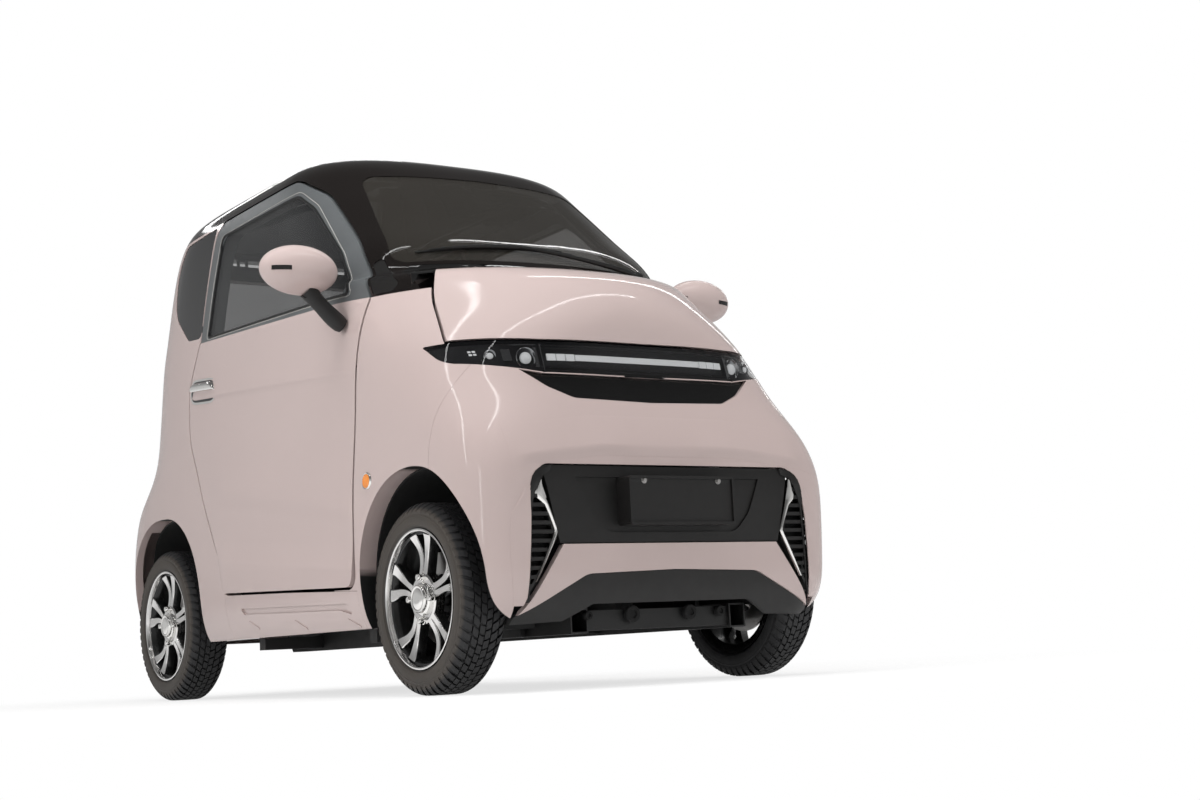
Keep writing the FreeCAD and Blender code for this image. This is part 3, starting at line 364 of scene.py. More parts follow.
# tyres
tyreSizes = {"radius": 0.2328, "halfWidth": 0.0622, "treadDepth": 0.0065, "pitches": 58, "segments": 116,
             "dustFrom": 0.5335}
# tread blocks: inner edge, outer edge, share of the pitch, start of the slant, slant
treadBlocks = [(0.0375, 0.0605, 0.66, 0.00, 0.5), (0.0185, 0.034, 0.8, 0.28, 0.42),
               (0.0012, 0.015, 0.84, 0.55, 0.22)]


def treadRadius(across):
    # how far the tread's top lies from the axle at a distance from the tyre's middle
    reach = abs(across) / tyreSizes["halfWidth"]
    return tyreSizes["radius"] - 0.0009 * reach ** 2 - 0.021 * max(reach - 0.6, 0) ** 1.9 / 0.4 ** 1.9


def treadBlock(side, inner, outer, share, start, slant):
    pitch = 2 * math.pi / tyreSizes["pitches"]
    steps = 6 if outer > 0.05 else 2
    vertices = []
    for step in range(steps + 1):
        across = inner + (outer - inner) * step / steps
        lean = start + slant * (step / steps) ** 1.4 + (0.5 if side < 0 else 0)
        top = treadRadius(across)
        low = min(tyreSizes["radius"] - tyreSizes["treadDepth"], top - 0.004) - 0.001
        for radius, edge in ((low, 0.0), (top, 0.02), (top, share - 0.02), (low, share)):
            angle = (lean + edge) * pitch
            vertices.append((side * across, radius * math.sin(angle), radius * math.cos(angle)))
    faces = [(first, first + 1, first + 5, first + 4)
             for step in range(steps) for first in range(step * 4, step * 4 + 3)]
    return vertices, faces + [(0, 1, 2, 3), tuple(range(steps * 4, steps * 4 + 4))]


def ringTree(name, source, count, material):
    # copies of a mesh round the X axis
    tree = bpy.data.node_groups.new(name, "GeometryNodeTree")
    tree.interface.new_socket("Geometry", in_out="INPUT", socket_type="NodeSocketGeometry")
    copies = tree.interface.new_socket("Copies", in_out="INPUT", socket_type="NodeSocketInt")
    part = tree.interface.new_socket("Part", in_out="INPUT", socket_type="NodeSocketObject")
    tree.interface.new_socket("Geometry", in_out="OUTPUT", socket_type="NodeSocketGeometry")
    group = Nodes(tree)
    entry = group.add("NodeGroupInput")
    line = group.add("GeometryNodeMeshLine", None, {"Count": entry.outputs["Copies"], "Offset": (0, 0, 0)})
    share = group.wire("GeometryNodeInputIndex").math("DIVIDE", Wire(tree, entry.outputs["Copies"]))
    turn = group.add("ShaderNodeCombineXYZ", None, {0: share * (2 * math.pi)})
    info = group.add("GeometryNodeObjectInfo", None, {"Object": entry.outputs["Part"]})
    instances = group.add("GeometryNodeInstanceOnPoints", None, {
        "Points": line.outputs[0], "Instance": info.outputs["Geometry"], "Rotation": turn.outputs[0]})
    whole = group.add("GeometryNodeRealizeInstances", None, {0: instances.outputs[0]})
    painted = group.add("GeometryNodeSetMaterial", None, {"Geometry": whole.outputs[0], "Material": material})
    group.add("NodeGroupOutput", None, {0: painted.outputs[0]})
    carrier = linked(name, bpy.data.meshes.new(name))
    modifier = carrier.modifiers.new(name, "NODES")
    modifier.node_group = tree
    modifier[copies.identifier] = count
    modifier[part.identifier] = source
    bpy.context.view_layer.update()
    made = evaluated(carrier)
    bpy.data.objects.remove(carrier)
    return made


def evaluated(item):
    return bpy.data.meshes.new_from_object(item.evaluated_get(bpy.context.evaluated_depsgraph_get()))


def ringOf(name, form, count, material):
    mesh = bpy.data.meshes.new(name + "Part")
    mesh.from_pydata(form[0], [], form[1])
    source = linked(name + "Part", mesh)
    made = ringTree(name, source, count, material)
    bpy.data.objects.remove(source)
    return [tuple(v.co) for v in made.vertices], [tuple(face.vertices) for face in made.polygons]


def tyreRubber():
    rubber = Finish("tyreRubber")
    dust = rubber.noise(25.0, 5.0, 0.6)
    worn = rubber.blend(dust, shade(finishLook["rubber"], 0.7), shade(finishLook["rubber"], 1.5))
    wall = rubber.axis(0).math("ABSOLUTE").above(tyreSizes["dustFrom"], 0.005) * (dust * 0.6 + 0.4)
    rubber.put("Base Color", rubber.blend(wall, worn, shade(finishLook["roadDust"], 1)))
    rubber.put("Roughness", dust * 0.2 + 0.5)
    rubber.bump(rubber.noise(1500.0, 2.0), 0.00008)
    return rubber.material


rubberBlack = tyreRubber()
treadForm = joined([treadBlock(side, *block) for side in (1, -1) for block in treadBlocks])
treadRing = ringOf("treadRing", treadForm, tyreSizes["pitches"], rubberBlack)
sidewallHalf = [
    (0.044, 0.1582), (0.047, 0.1702), (0.0545, 0.1715), (0.0568, 0.1745), (0.0586, 0.1775), (0.06, 0.1778),
    (0.0602, 0.1795), (0.0611, 0.183), (0.0618, 0.188), (0.062, 0.193), (0.0617, 0.1975), (0.0613, 0.1995),
    (0.0619, 0.1999), (0.0618, 0.2018), (0.0609, 0.203), (0.06, 0.2065), (0.0604, 0.208), (0.0598, 0.2105),
    (0.0585, 0.213), (0.056, 0.2165), (0.05, 0.2222), (0.04, 0.225),
]
tyreProfile = [(-a, r) for a, r in sidewallHalf] + [(-0.018, 0.2262), (0.018, 0.2262)] + sidewallHalf[::-1]
tyreForm = joined([turned(tyreProfile, tyreSizes["segments"]), treadRing])
for name, spot in wheelSpots.items():
    tyre = meshPiece("tyre_tread_" + name, (atWheel(tyreForm[0], spot), tyreForm[1]), rubberBlack,
                     "wheel_" + name, smooth=28)
    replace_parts(tyre, "tyre_" + name)
print("tyres made")

# wheels: profiles are (along the axle, radius)
rimSizes = {"spokeInner": 0.05, "spokeOuter": 0.1535, "nutCircle": 0.052, "pairs": 5, "nuts": 4,
            "stations": 16, "ringPitch": 5200.0}
rimProfiles = {
    "lip": [(0.0575, 0.17), (0.0582, 0.1665), (0.0568, 0.164), (0.0545, 0.1632), (0.044, 0.161),
            (0.042, 0.156), (0.03, 0.152), (0.03, 0.156), (0.044, 0.1625), (0.048, 0.1685)],
    "barrel": [(0.0305, 0.152), (-0.01, 0.144), (-0.048, 0.147), (-0.054, 0.156), (-0.057, 0.17),
               (-0.05, 0.17), (-0.047, 0.158), (0.0305, 0.156)],
    "hub": [(0.04, 0.0), (0.04, 0.035), (0.0435, 0.04), (0.044, 0.056), (0.041, 0.061),
            (0.018, 0.064), (0.018, 0.0)],
    "disc": [(-0.006, 0.06), (-0.006, 0.112), (-0.014, 0.112), (-0.014, 0.06)],
    "cap": [(0.038, 0.042), (0.047, 0.0405), (0.049, 0.038), (0.05, 0.0345), (0.0585, 0.0335),
            (0.06, 0.032), (0.0602, 0.028), (0.059, 0.0262), (0.06, 0.0245), (0.0614, 0.012),
            (0.0618, 0.0)],
    "nut": [(0.036, 0.0105), (0.045, 0.0105), (0.0458, 0.0085), (0.056, 0.0083), (0.0585, 0.0068),
            (0.0592, 0.0)],
}
# a spoke's section: place across it as a share of its width, and height under its face
spokeSection = [(-0.625, -0.026), (-0.5, -0.0022), (-0.42, 0.0), (0.42, 0.0), (0.5, -0.0022), (0.625, -0.026)]


def machinedFace(name, centreY):
    # bright turned metal with fine rings about this wheel's own axle
    metal = Finish(name, Metallic=1.0)
    moved = metal.add("ShaderNodeMapping", None, {"Vector": metal.place,
                                                  "Location": (0, -centreY, -axleZ)}).outputs[0]
    up = metal.axis(2, moved)
    along = metal.axis(1, moved)
    radius = (up * up + along * along).math("SQRT")
    rings = (radius * rimSizes["ringPitch"]).math("SINE") * 0.5 + 0.5
    metal.clouded(metal.noise(25.0, 3.0), finishLook["alloy"], 0.9, 1.05)
    metal.put("Roughness", rings * 0.08 + 0.12)
    metal.bump(rings, 0.000012)
    return metal.material


def spokeForm(side):
    # one spoke of a pair; its twin is mirrored
    stations = rimSizes["stations"]
    vertices = []
    for step in range(stations + 1):
        share = step / stations
        waist = math.sin(math.pi * min(share * 1.1, 1.0))
        radius = rimSizes["spokeInner"] + (rimSizes["spokeOuter"] + 0.004 - rimSizes["spokeInner"]) * share
        offset = side * math.radians(10.0 - 3.6 * waist + 2.4 * share ** 2.2)
        width = 0.019 - 0.0035 * waist + 0.012 * share ** 3
        height = 0.044 - 0.0085 * math.sin(math.pi * share * 0.85) + 0.0075 * share ** 3
        for across, rise in spokeSection:
            angle = offset + across * width / radius
            vertices.append((height + rise, radius * math.sin(angle), radius * math.cos(angle)))
    faces = []
    slots = []
    for first in range(0, stations * 6, 6):
        for edge in range(6):
            after = (edge + 1) % 6
            faces.append((first + edge, first + after, first + 6 + after, first + 6 + edge))
            slots.append(0 if edge in (1, 2, 3) else 1)
    return vertices, faces, slots


def aboutAxle(vertices, turn):
    cosine, sine = math.cos(turn), math.sin(turn)
    return [(v[0], v[1] * cosine + v[2] * sine, v[2] * cosine - v[1] * sine) for v in vertices]


def wheelFace(name, spot):
    # slots: machined metal, dark paint, steel
    lip = turned(rimProfiles["lip"], 96)
    barrel = turned(rimProfiles["barrel"], 72)
    hub = turned(rimProfiles["hub"], 72, closed=False)
    disc = turned(rimProfiles["disc"], 64)
    forms = [lip, barrel, hub, disc]
    slots = [0 if index % len(rimProfiles["lip"]) < 4 else 1 for index in range(len(lip[1]))]
    slots += [1] * len(barrel[1]) + [0] * len(hub[1]) + [2] * len(disc[1])
    for pair in range(rimSizes["pairs"]):
        for side in (-1, 1):
            vertices, faces, spokeSlots = spokeForm(side)
            forms.append((aboutAxle(vertices, 2 * math.pi * pair / rimSizes["pairs"]), faces))
            slots += spokeSlots
    vertices, faces = joined(forms)
    finishes = [machinedFace("machined_" + name, spot["y"]), alloyDark, steel]
    return meshPiece("alloy_" + name, (atWheel(vertices, spot), faces), finishes, "wheel_" + name,
                     smooth=30, faceSlots=slots)


def capAndNuts(name, spot):
    forms = [turned(rimProfiles["cap"], 56, closed=False)]
    for index in range(rimSizes["nuts"]):
        angle = 2 * math.pi * index / rimSizes["nuts"]
        nut, nutFaces = turned(rimProfiles["nut"], 12, closed=False)
        y = rimSizes["nutCircle"] * math.sin(angle)
        z = rimSizes["nutCircle"] * math.cos(angle)
        forms.append(([(v[0], v[1] + y, v[2] + z) for v in nut], nutFaces))
    vertices, faces = joined(forms)
    form = (atWheel(vertices, spot), faces)
    meshPiece("wheel_cap_" + name, form, chrome, "wheel_" + name, smooth=40)


for name, spot in wheelSpots.items():
    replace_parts(wheelFace(name, spot), "rim_" + name)
    capAndNuts(name, spot)
print("wheels made")

# places on the skin: a ray gives the place that it meets and the normal there, or None twice
rayStart = 2.0
heightStep = 0.002
heightSteps = (0, 1, -1, 2, -2, 3, -3, 4, -4, 5, -5, 6, -6, 8, -8, 10, -10)


def skinOf(*names):
    meshes = [nodes[name].data for name in names]
    parts = [([v.co.copy() for v in mesh.vertices], [tuple(face.vertices) for face in mesh.polygons])
             for mesh in meshes]
    return BVHTree.FromPolygons(*joined(parts))


def fromFront(skin, x, z):
    return skin.ray_cast(Vector((x, -rayStart, z)), Vector((0, 1, 0)))[:2]


def fromSide(skin, side, y, z):
    return skin.ray_cast(Vector((side * rayStart, y, z)), Vector((-side, 0, 0)))[:2]


def skinPoint(skin, view, u, z):
    # view is 0 from the front, or the side that the ray comes from; a near height serves past the skin's edge
    for step in heightSteps:
        level = z + step * heightStep
        hit = fromSide(skin, view, u, level) if view else fromFront(skin, u, level)
        if hit[0]:
            return hit
    return skinPoint(skin, view, u * 0.98, z) if abs(u) > 0.3 else (Vector((u, -1.1, z)), Vector((0, -1, 0)))


def skinPatch(skin, view, edges, rows, columns, depth, thickness):
    # a sheet that follows the skin; edges gives u with its low and high z at a share of the length
    def point(column, row, layer):
        u, low, high = edges(column / columns)
        z = low + (high - low) * row / rows
        place = skinPoint(skin, view, u, z)[0]
        sink = depth + layer * thickness
        return (place.x - view * sink, u, z) if view else (u, place.y + sink, z)
    return shell(columns, rows, point)


def span(lowU, highU, lowZ, highZ):
    # the edges of a plain rectangle
    return lambda share: (lowU + (highU - lowU) * share, lowZ, highZ)


def rounded(points, rounds=3):
    # cuts the corners of a closed outline until it is smooth
    for turn in range(rounds):
        points = [tuple(near * a + (1 - near) * b for a, b in zip(here, after))
                  for here, after in zip(points, points[1:] + points[:1]) for near in (0.75, 0.25)]
    return points


def cornered(points, reach):
    # an outline with points added beside each corner, so that rounding keeps its sides straight
    result = []
    for index, here in enumerate(points):
        for other in (points[index - 1], here, points[(index + 1) % len(points)]):
            share = 0 if other is here else min(reach / math.dist(here, other), 0.45)
            result.append(tuple(a + (b - a) * share for a, b in zip(here, other)))
    return result


def tube(points, thickness, closed=True, sides=8):
    # a round bar through points; its thickness is a radius or one for each point
    vertices = []
    faces = []
    count = len(points)
    points = [Vector(p) for p in points]
    leaning = Vector((0.31, 0.22, 0.93))  # along no bar, so that the ring's axes are steady
    for index, here in enumerate(points):
        before = points[index - 1] if closed or index else here
        after = points[(index + 1) % count] if closed or index < count - 1 else here
        along = (after - before).normalized()
        across = along.cross(leaning).normalized()
        other = along.cross(across)
        radius = thickness[index] if isinstance(thickness, list) else thickness
        for side in range(sides):
            angle = 2 * math.pi * side / sides
            spoke = across * radius * math.cos(angle) + other * radius * math.sin(angle)
            vertices.append(tuple(here + spoke))
    for index in range(count if closed else count - 1):
        following = (index + 1) % count
        for side in range(sides):
            after = (side + 1) % sides
            faces.append((index * sides + side, index * sides + after, following * sides + after,
                          following * sides + side))
    if not closed:
        faces += [tuple(range(sides)), tuple(range((count - 1) * sides, count * sides))]
    return vertices, faces


def recoloured(node, name, body, materials, choose, lowest=-1.0):
    # a copy of a CAD piece above a height, with its finish chosen face by face
    source = nodes[node].data
    faces = [tuple(face.vertices) for face in source.polygons if face.center.z > lowest]
    form = ([tuple(v.co) for v in source.vertices], faces)
    piece = meshPiece(name, form, materials, body, smooth=32)
    for face in piece.data.polygons:
        face.material_index = choose(face.center, face.normal)
    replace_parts(piece, node)


# head lamps
lampSizes = {"half": 0.487, "lowZ": 0.7645, "highZ": 0.8385, "stripLow": 0.797, "stripHigh": 0.812,
             "stripHalf": 0.19, "cells": 3, "cell": 0.0225, "cellGap": 0.0035, "edgeHalf": 0.279,
             "dotX": 0.424, "dotZ": 0.812, "dotPitch": 0.008, "dot": 0.0048}
lampRounds = [{"x": 0.322, "z": 0.806, "radius": 0.025}, {"x": 0.402, "z": 0.815, "radius": 0.0145}]
# bright division wall and chamfers: low x, high x, low z, high z, depth
lampChamfers = [(0.2815, 0.2845, 0.77, 0.838, 0.005), (0.293, 0.352, 0.8345, 0.8375, 0.006),
                (0.352, 0.372, 0.795, 0.826, 0.014), (0.29, 0.299, 0.778, 0.83, 0.011)]
lampSkin = skinOf("lamp_bar")
underSkin = skinOf("lamp_bar", "mouth_panel", "front_bumper")
ledGlow = Finish("ledGlow", Base_Color=(0.85, 0.87, 0.88, 1.0), Roughness=0.3, Emission_Strength=0.35)
ledGlow.put("Emission Color", ledGlow.blend(ledGlow.noise(180.0, 2.0), (0.75, 0.78, 0.8, 1), (1, 1, 1, 1)))


def lampEdges(share):
    # low and high edge of the lamp's inside at a share of its width
    x = lampSizes["half"] * (2 * share - 1)
    low = lampSizes["lowZ"] + 0.165 * max(abs(x) - 0.29, 0)
    high = lampSizes["highZ"] + 0.03 * max(abs(x) - 0.285, 0)
    return x, min(low, high - 0.012), high


def lampBox(low, high, lowZ, highZ, depth, thickness=0.003, columns=4, side=1, skin=lampSkin):
    # a patch with straight edges, on one side of the car or over its middle
    first, last = sorted((side * low, side * high))
    return skinPatch(skin, 0, span(first, last, lowZ, highZ), 2, columns, depth, thickness)


def lightStrip():
    # the middle strip and three cells at each end
    half, cell, gap = (lampSizes[name] for name in ("stripHalf", "cell", "cellGap"))
    low, high = lampSizes["stripLow"], lampSizes["stripHigh"]
    forms = [lampBox(-half, half, low, high, 0.008, 0.004, 30)]
    for side in (-1, 1):
        for index in range(lampSizes["cells"]):
            start = half + gap + (cell + gap) * index
            forms.append(lampBox(start, start + cell, low - 0.001, high + 0.001, 0.008, 0.004, 2, side))
    return joined(forms)


def lampRound(side, lamp):
    # a reflector's cone and the dome of its lens
    radius = lamp["radius"]
    point, normal = skinPoint(lampSkin, 0, side * lamp["x"], lamp["z"])
    aim = (normal.x * 0.6, normal.y, 0)
    cone = [(0.0, radius), (-0.002, radius * 1.06), (-0.8 * radius, radius * 0.55), (-0.8 * radius, 0.0)]
    dome = [(-0.004, radius * 0.62), (0.000, radius * 0.56), (0.0035, radius * 0.36), (0.005, 0.0)]
    return turnedAt(point - normal * 0.009, aim, cone, 28), turnedAt(point - normal * 0.012, aim, dome, 24)


def lampDots(side):
    # four small lights in a square
    forms = []
    for row in range(2):
        for column in range(2):
            x = lampSizes["dotX"] + lampSizes["dotPitch"] * column
            z = lampSizes["dotZ"] + lampSizes["dotPitch"] * row
            forms.append(lampBox(x, x + lampSizes["dot"], z, z + lampSizes["dot"], 0.008, 0.003, 1, side))
    return forms


reflectors = []
lenses = []
for side in (-1, 1):
    for lamp in lampRounds:
        cone, dome = lampRound(side, lamp)
        reflectors.append(cone)
        lenses.append(dome)
    reflectors += [lampBox(*chamfer, side=side) for chamfer in lampChamfers]
    lenses += lampDots(side)
edgeHalf = lampSizes["edgeHalf"]
innerEdges = joined([lampBox(-edgeHalf, edgeHalf, 0.7725, 0.7775, 0.005, columns=30),
                     lampBox(-edgeHalf, edgeHalf, 0.8295, 0.8315, 0.006, columns=30)])
underEdge = lampBox(-0.292, 0.292, 0.759, 0.7685, -0.0012, 0.004, 40, skin=underSkin)
meshPiece("lamp_housing", skinPatch(lampSkin, 0, lampEdges, 6, 60, 0.02, 0.003), lampBlack)
meshPiece("lamp_light_strip", lightStrip(), ledGlow.material)
meshPiece("lamp_reflectors", joined(reflectors), lampChrome, smooth=30)
meshPiece("lamp_lenses", joined(lenses), ledGlow.material, smooth=30)
meshPiece("lamp_inner_edges", innerEdges, glossTrim)
meshPiece("lamp_under_edge", underEdge, glossTrim)
print("lamps made")

# door skins with their pressed creases; a crease's level is its height at y = 0
doorSkinSizes = {"grid": 0.0095, "rimGap": 0.0035, "rimRise": 0.0004, "rise": 0.0009, "back": 0.0012,
                 "softenings": 14}
creases = {
    "upper": {"rise": 0.0045, "level": 0.872, "lean": 0.075},
    "middle": {"rise": 0.004, "level": 0.56, "lean": 0.147},
    "lower": {"rise": 0.0075, "level": 0.372, "lean": 0.088},
}


def smoothStep(low, high, value):
    share = min(max((value - low) / (high - low), 0.0), 1.0)
    return share * share * (3 - 2 * share)


def aboveCrease(name, y, z):
    return z - (creases[name]["level"] + creases[name]["lean"] * y)


def creaseRise(y, z):
    # how far the pressed door stands out over the plain one
    ends = smoothStep(-0.535, -0.47, y) * smoothStep(0.585, 0.52, y)
    above = aboveCrease("upper", y, z)
    upper = max(1 - above / 0.11, 0) ** 2 if above > 0 else max(1 + above / 0.02, 0) ** 2
    above = aboveCrease("middle", y, z)
    middle = max(1 - above / 0.2, 0) ** 2 if above > 0 else 1 - smoothStep(0.0, 0.055, -above)
    above = aboveCrease("lower", y, z)
    lower = max(1 - above / 0.06, 0) ** 1.6 if above > 0 else 1.0
    rear = smoothStep(0.42, 0.25, y + (0.5 - z) * 0.3)
    lowEnds = smoothStep(-0.55, -0.51, y) * smoothStep(0.42, 0.3, y)
    return (creases["upper"]["rise"] * upper * ends + creases["middle"]["rise"] * middle * ends * rear
            + creases["lower"]["rise"] * lower * lowEnds)


def outerRim(node, skin, side):
    # the outline (y, z) of a door panel's outer sheet
    builder = bmesh.new()
    builder.from_mesh(nodes[node].data)
    bmesh.ops.remove_doubles(builder, verts=builder.verts, dist=0.00002)
    outer = set()
    for face in builder.faces:
        centre = face.calc_center_median()
        hit = fromSide(skin, side, centre.y, centre.z)[0]
        if hit and abs(hit.x - centre.x) < 0.0008 and face.normal.x * side > 0.35:
            outer.add(face)
    following = {}
    for face in outer:
        for loop in face.loops:
            if not any(other in outer for other in loop.edge.link_faces if other is not face):
                following[loop.vert] = loop.link_loop_next.vert
    best = []
    while following:
        chain = [next(iter(following))]
        while chain[-1] in following:
            chain.append(following.pop(chain[-1]))
        best = chain if len(chain) > len(best) else best
    rim = [Vector((v.co.y, v.co.z)) for v in best[:-1]]
    builder.free()
    return rim


def gridInside(rim):
    # a grid that leans with the upper crease, closer at the crease and clear of the rim
    corners = numpy.array([tuple(p) for p in rim])
    edges = numpy.roll(corners, -1, axis=0) - corners
    low, high = corners.min(axis=0), corners.max(axis=0)
    crease = creases["upper"]
    rows = [0.26 + 0.008 * k for k in range(13)]
    rows += sorted(set([round(0.36 + 0.008 * k, 4) for k in range(90)]
                       + [round(crease["level"] - 0.024 + 0.004 * k, 4) for k in range(9)]))
    points = []
    y = low[0] + 0.003
    while y < high[0]:
        levels = [row + crease["lean"] * y for row in rows]
        points += [(y, z) for z in levels if low[1] < z < high[1]]
        y += doorSkinSizes["grid"]
    grid = numpy.array(points)
    reach = grid[:, None, :] - corners[None, :, :]
    share = numpy.clip((reach * edges).sum(axis=2) / numpy.maximum((edges ** 2).sum(axis=1), 1e-12), 0, 1)
    away = numpy.sqrt(((reach - share[:, :, None] * edges[None, :, :]) ** 2).sum(axis=2)).min(axis=1)
    return [Vector(p) for p in grid[away > doorSkinSizes["rimGap"]]]


def softened(depth, triangles, fixed):
    # each depth that isn't fixed becomes the mean of its neighbours', some times over
    count = len(depth)
    pairs = numpy.array([(f[i], f[(i + 1) % 3]) for f in triangles for i in range(3)])
    degree = numpy.bincount(pairs[:, 0], minlength=count) + numpy.bincount(pairs[:, 1], minlength=count)
    for turn in range(doorSkinSizes["softenings"]):
        total = (numpy.bincount(pairs[:, 0], weights=depth[pairs[:, 1]], minlength=count)
                 + numpy.bincount(pairs[:, 1], weights=depth[pairs[:, 0]], minlength=count))
        depth = numpy.where(fixed, depth, total / numpy.maximum(degree, 1))
    return depth


def doorSkin(letter, side):
    node = "door_%s_panel" % letter
    skin = skinOf(node)
    rim = outerRim(node, skin, side)
    edges = [(i, (i + 1) % len(rim)) for i in range(len(rim))]
    made = delaunay_2d_cdt(rim + gridInside(rim), edges, [], 1, 0.00001)
    places, triangles = made[0], made[2]
    count = len(places)
    uses = {}
    for f in triangles:
        for i in range(3):
            key = tuple(sorted((f[i], f[(i + 1) % 3])))
            uses[key] = uses.get(key, 0) + 1
    borders = [key for key, number in uses.items() if number == 1]
    nearRim = numpy.zeros(count, dtype=bool)
    nearRim[[i for key in borders for i in key]] = True
    depth = numpy.array([skinPoint(skin, side, place.x, place.y)[0].x for place in places])
    depth = softened(depth, triangles, nearRim)
    vertices = []
    for index, place in enumerate(places):
        rise = doorSkinSizes["rimRise" if nearRim[index] else "rise"] + creaseRise(place.x, place.y)
        vertices.append((depth[index] + side * rise, place.x, place.y))
    back = side * doorSkinSizes["back"]
    vertices += [(depth[index] - back, place.x, place.y) for index, place in enumerate(places)]
    faces = [tuple(f) for f in triangles] + [tuple(i + count for i in f[::-1]) for f in triangles]
    faces += [(a, b, b + count, a + count) for a, b in borders]
    meshPiece("door_skin_" + letter, (vertices, faces), bodyPaint, "door_" + letter, smooth=40)


for side, letter in bothSides:
    doorSkin(letter, side)
print("door skins made")

# corner blades, vent frames and fillers; a station is (z, outer x, inner x)
bladeSizes = {"lift": 0.005, "thickness": 0.006}
frameSizes = {"lift": 0.0012, "thickness": 0.004, "anchored": 0.0012}
backingSizes = {"lift": 0.0, "thickness": 0.002, "behind": 0.022}
fillSizes = {"start": 0.007, "probe": 0.012, "lift": 0.0006, "clear": 0.0014, "thickness": 0.003, "rows": 10,
             "softenings": 6}
bladeEdge = [(0.503, 0.3795, 0.377), (0.48, 0.389, 0.372), (0.458, 0.395, 0.366), (0.448, 0.3925, 0.363),
             (0.44, 0.382, 0.3605), (0.432, 0.3715, 0.358), (0.413, 0.363, 0.3515), (0.392, 0.3545, 0.344),
             (0.376, 0.348, 0.3385), (0.368, 0.347, 0.3365), (0.358, 0.352, 0.34), (0.34, 0.361, 0.349),
             (0.3, 0.38, 0.3705), (0.27, 0.3945, 0.3875), (0.252, 0.403, 0.3985)]
frameEdge = [(0.525, 0.356, 0.346), (0.5225, 0.37, 0.347), (0.518, 0.382, 0.3485), (0.51, 0.3935, 0.352),
             (0.498, 0.403, 0.376), (0.482, 0.409, 0.386), (0.466, 0.412, 0.396), (0.45, 0.4135, 0.401),
             (0.43, 0.415, 0.406), (0.39, 0.4165, 0.409), (0.34, 0.419, 0.4115), (0.29, 0.422, 0.4145),
             (0.24, 0.4245, 0.417), (0.205, 0.427, 0.42)]
fillEdge = [(0.475, 0.418, 0.409), (0.46, 0.424, 0.4115), (0.44, 0.436, 0.413), (0.42, 0.45, 0.414),
            (0.4, 0.456, 0.415), (0.36, 0.4575, 0.417), (0.32, 0.458, 0.4195), (0.285, 0.457, 0.4215),
            (0.25, 0.454, 0.4235), (0.215, 0.45, 0.4255), (0.198, 0.448, 0.431)]
ventBack = [(z, 0.446 - 0.03 * abs(z - 0.37) / 0.13, 0.335 + 0.35 * abs(z - 0.37))
            for z in (0.22, 0.25, 0.29, 0.33, 0.37, 0.42, 0.46, 0.5)]
frontSkin = skinOf("front_bumper", "lower_grille", "corner_blades")
bumperSkin = skinOf("front_bumper")


def sheetTerms(x, z):
    return [1, x * x, z, x * x * z, z * z, x ** 4]


def fitted(names, lowX, highX, lowZ, highZ):
    # a smooth sheet through the front of some pieces: y from x squared and z
    rows = []
    places = []
    for vertex in [vertex for name in names for vertex in nodes[name].data.vertices]:
        x, y, z = vertex.co
        if lowX < abs(x) < highX and lowZ < z < highZ:
            hit = fromFront(frontSkin, x, z)[0]
            if hit and abs(hit.y - y) < 0.0006:
                rows.append(sheetTerms(x, z))
                places.append(y)
    return numpy.linalg.lstsq(numpy.array(rows), numpy.array(places), rcond=None)[0]


bladeFit = fitted(("front_bumper", "corner_blades", "lower_grille"), 0.3, 0.45, 0.24, 0.56)


def sheetY(x, z):
    return float(numpy.dot(bladeFit, sheetTerms(x, z)))


def edgeDrop(x, z):
    # how far the foremost piece near a point stands from the smooth sheet
    found = []
    for step in (-3, -2, -1, 0, 1, 2, 3):
        for shift in (-0.005, 0, 0.005):
            level = z + step * 0.004
            hit = fromFront(frontSkin, x + shift, level)[0]
            if hit and abs(hit.y - sheetY(x + shift, level)) < 0.03:
                found.append(hit.y - sheetY(x + shift, level))
    return min(found) if found else 0.0


def ribbon(side, stations, lift, thickness, rows=4, anchored=None, behind=0.0):
    # a strip between two edges, crowned across; an anchored one stands just proud of what lies under it
    drops = [(0.0, 0.0)] * len(stations)
    if anchored is not None:
        drops = [[edgeDrop(side * x, z) - anchored for x in (outer, inner)] for z, outer, inner in stations]

    def point(column, row, layer):
        z, outer, inner = stations[column]
        share = row / rows
        x = side * (outer + (inner - outer) * share)
        drop = drops[column][0] + (drops[column][1] - drops[column][0]) * share
        away = thickness if layer else -lift * (1 - (2 * share - 1) ** 2)
        return x, sheetY(x, z) + drop + away + behind, z
    return shell(len(stations) - 1, rows, point)


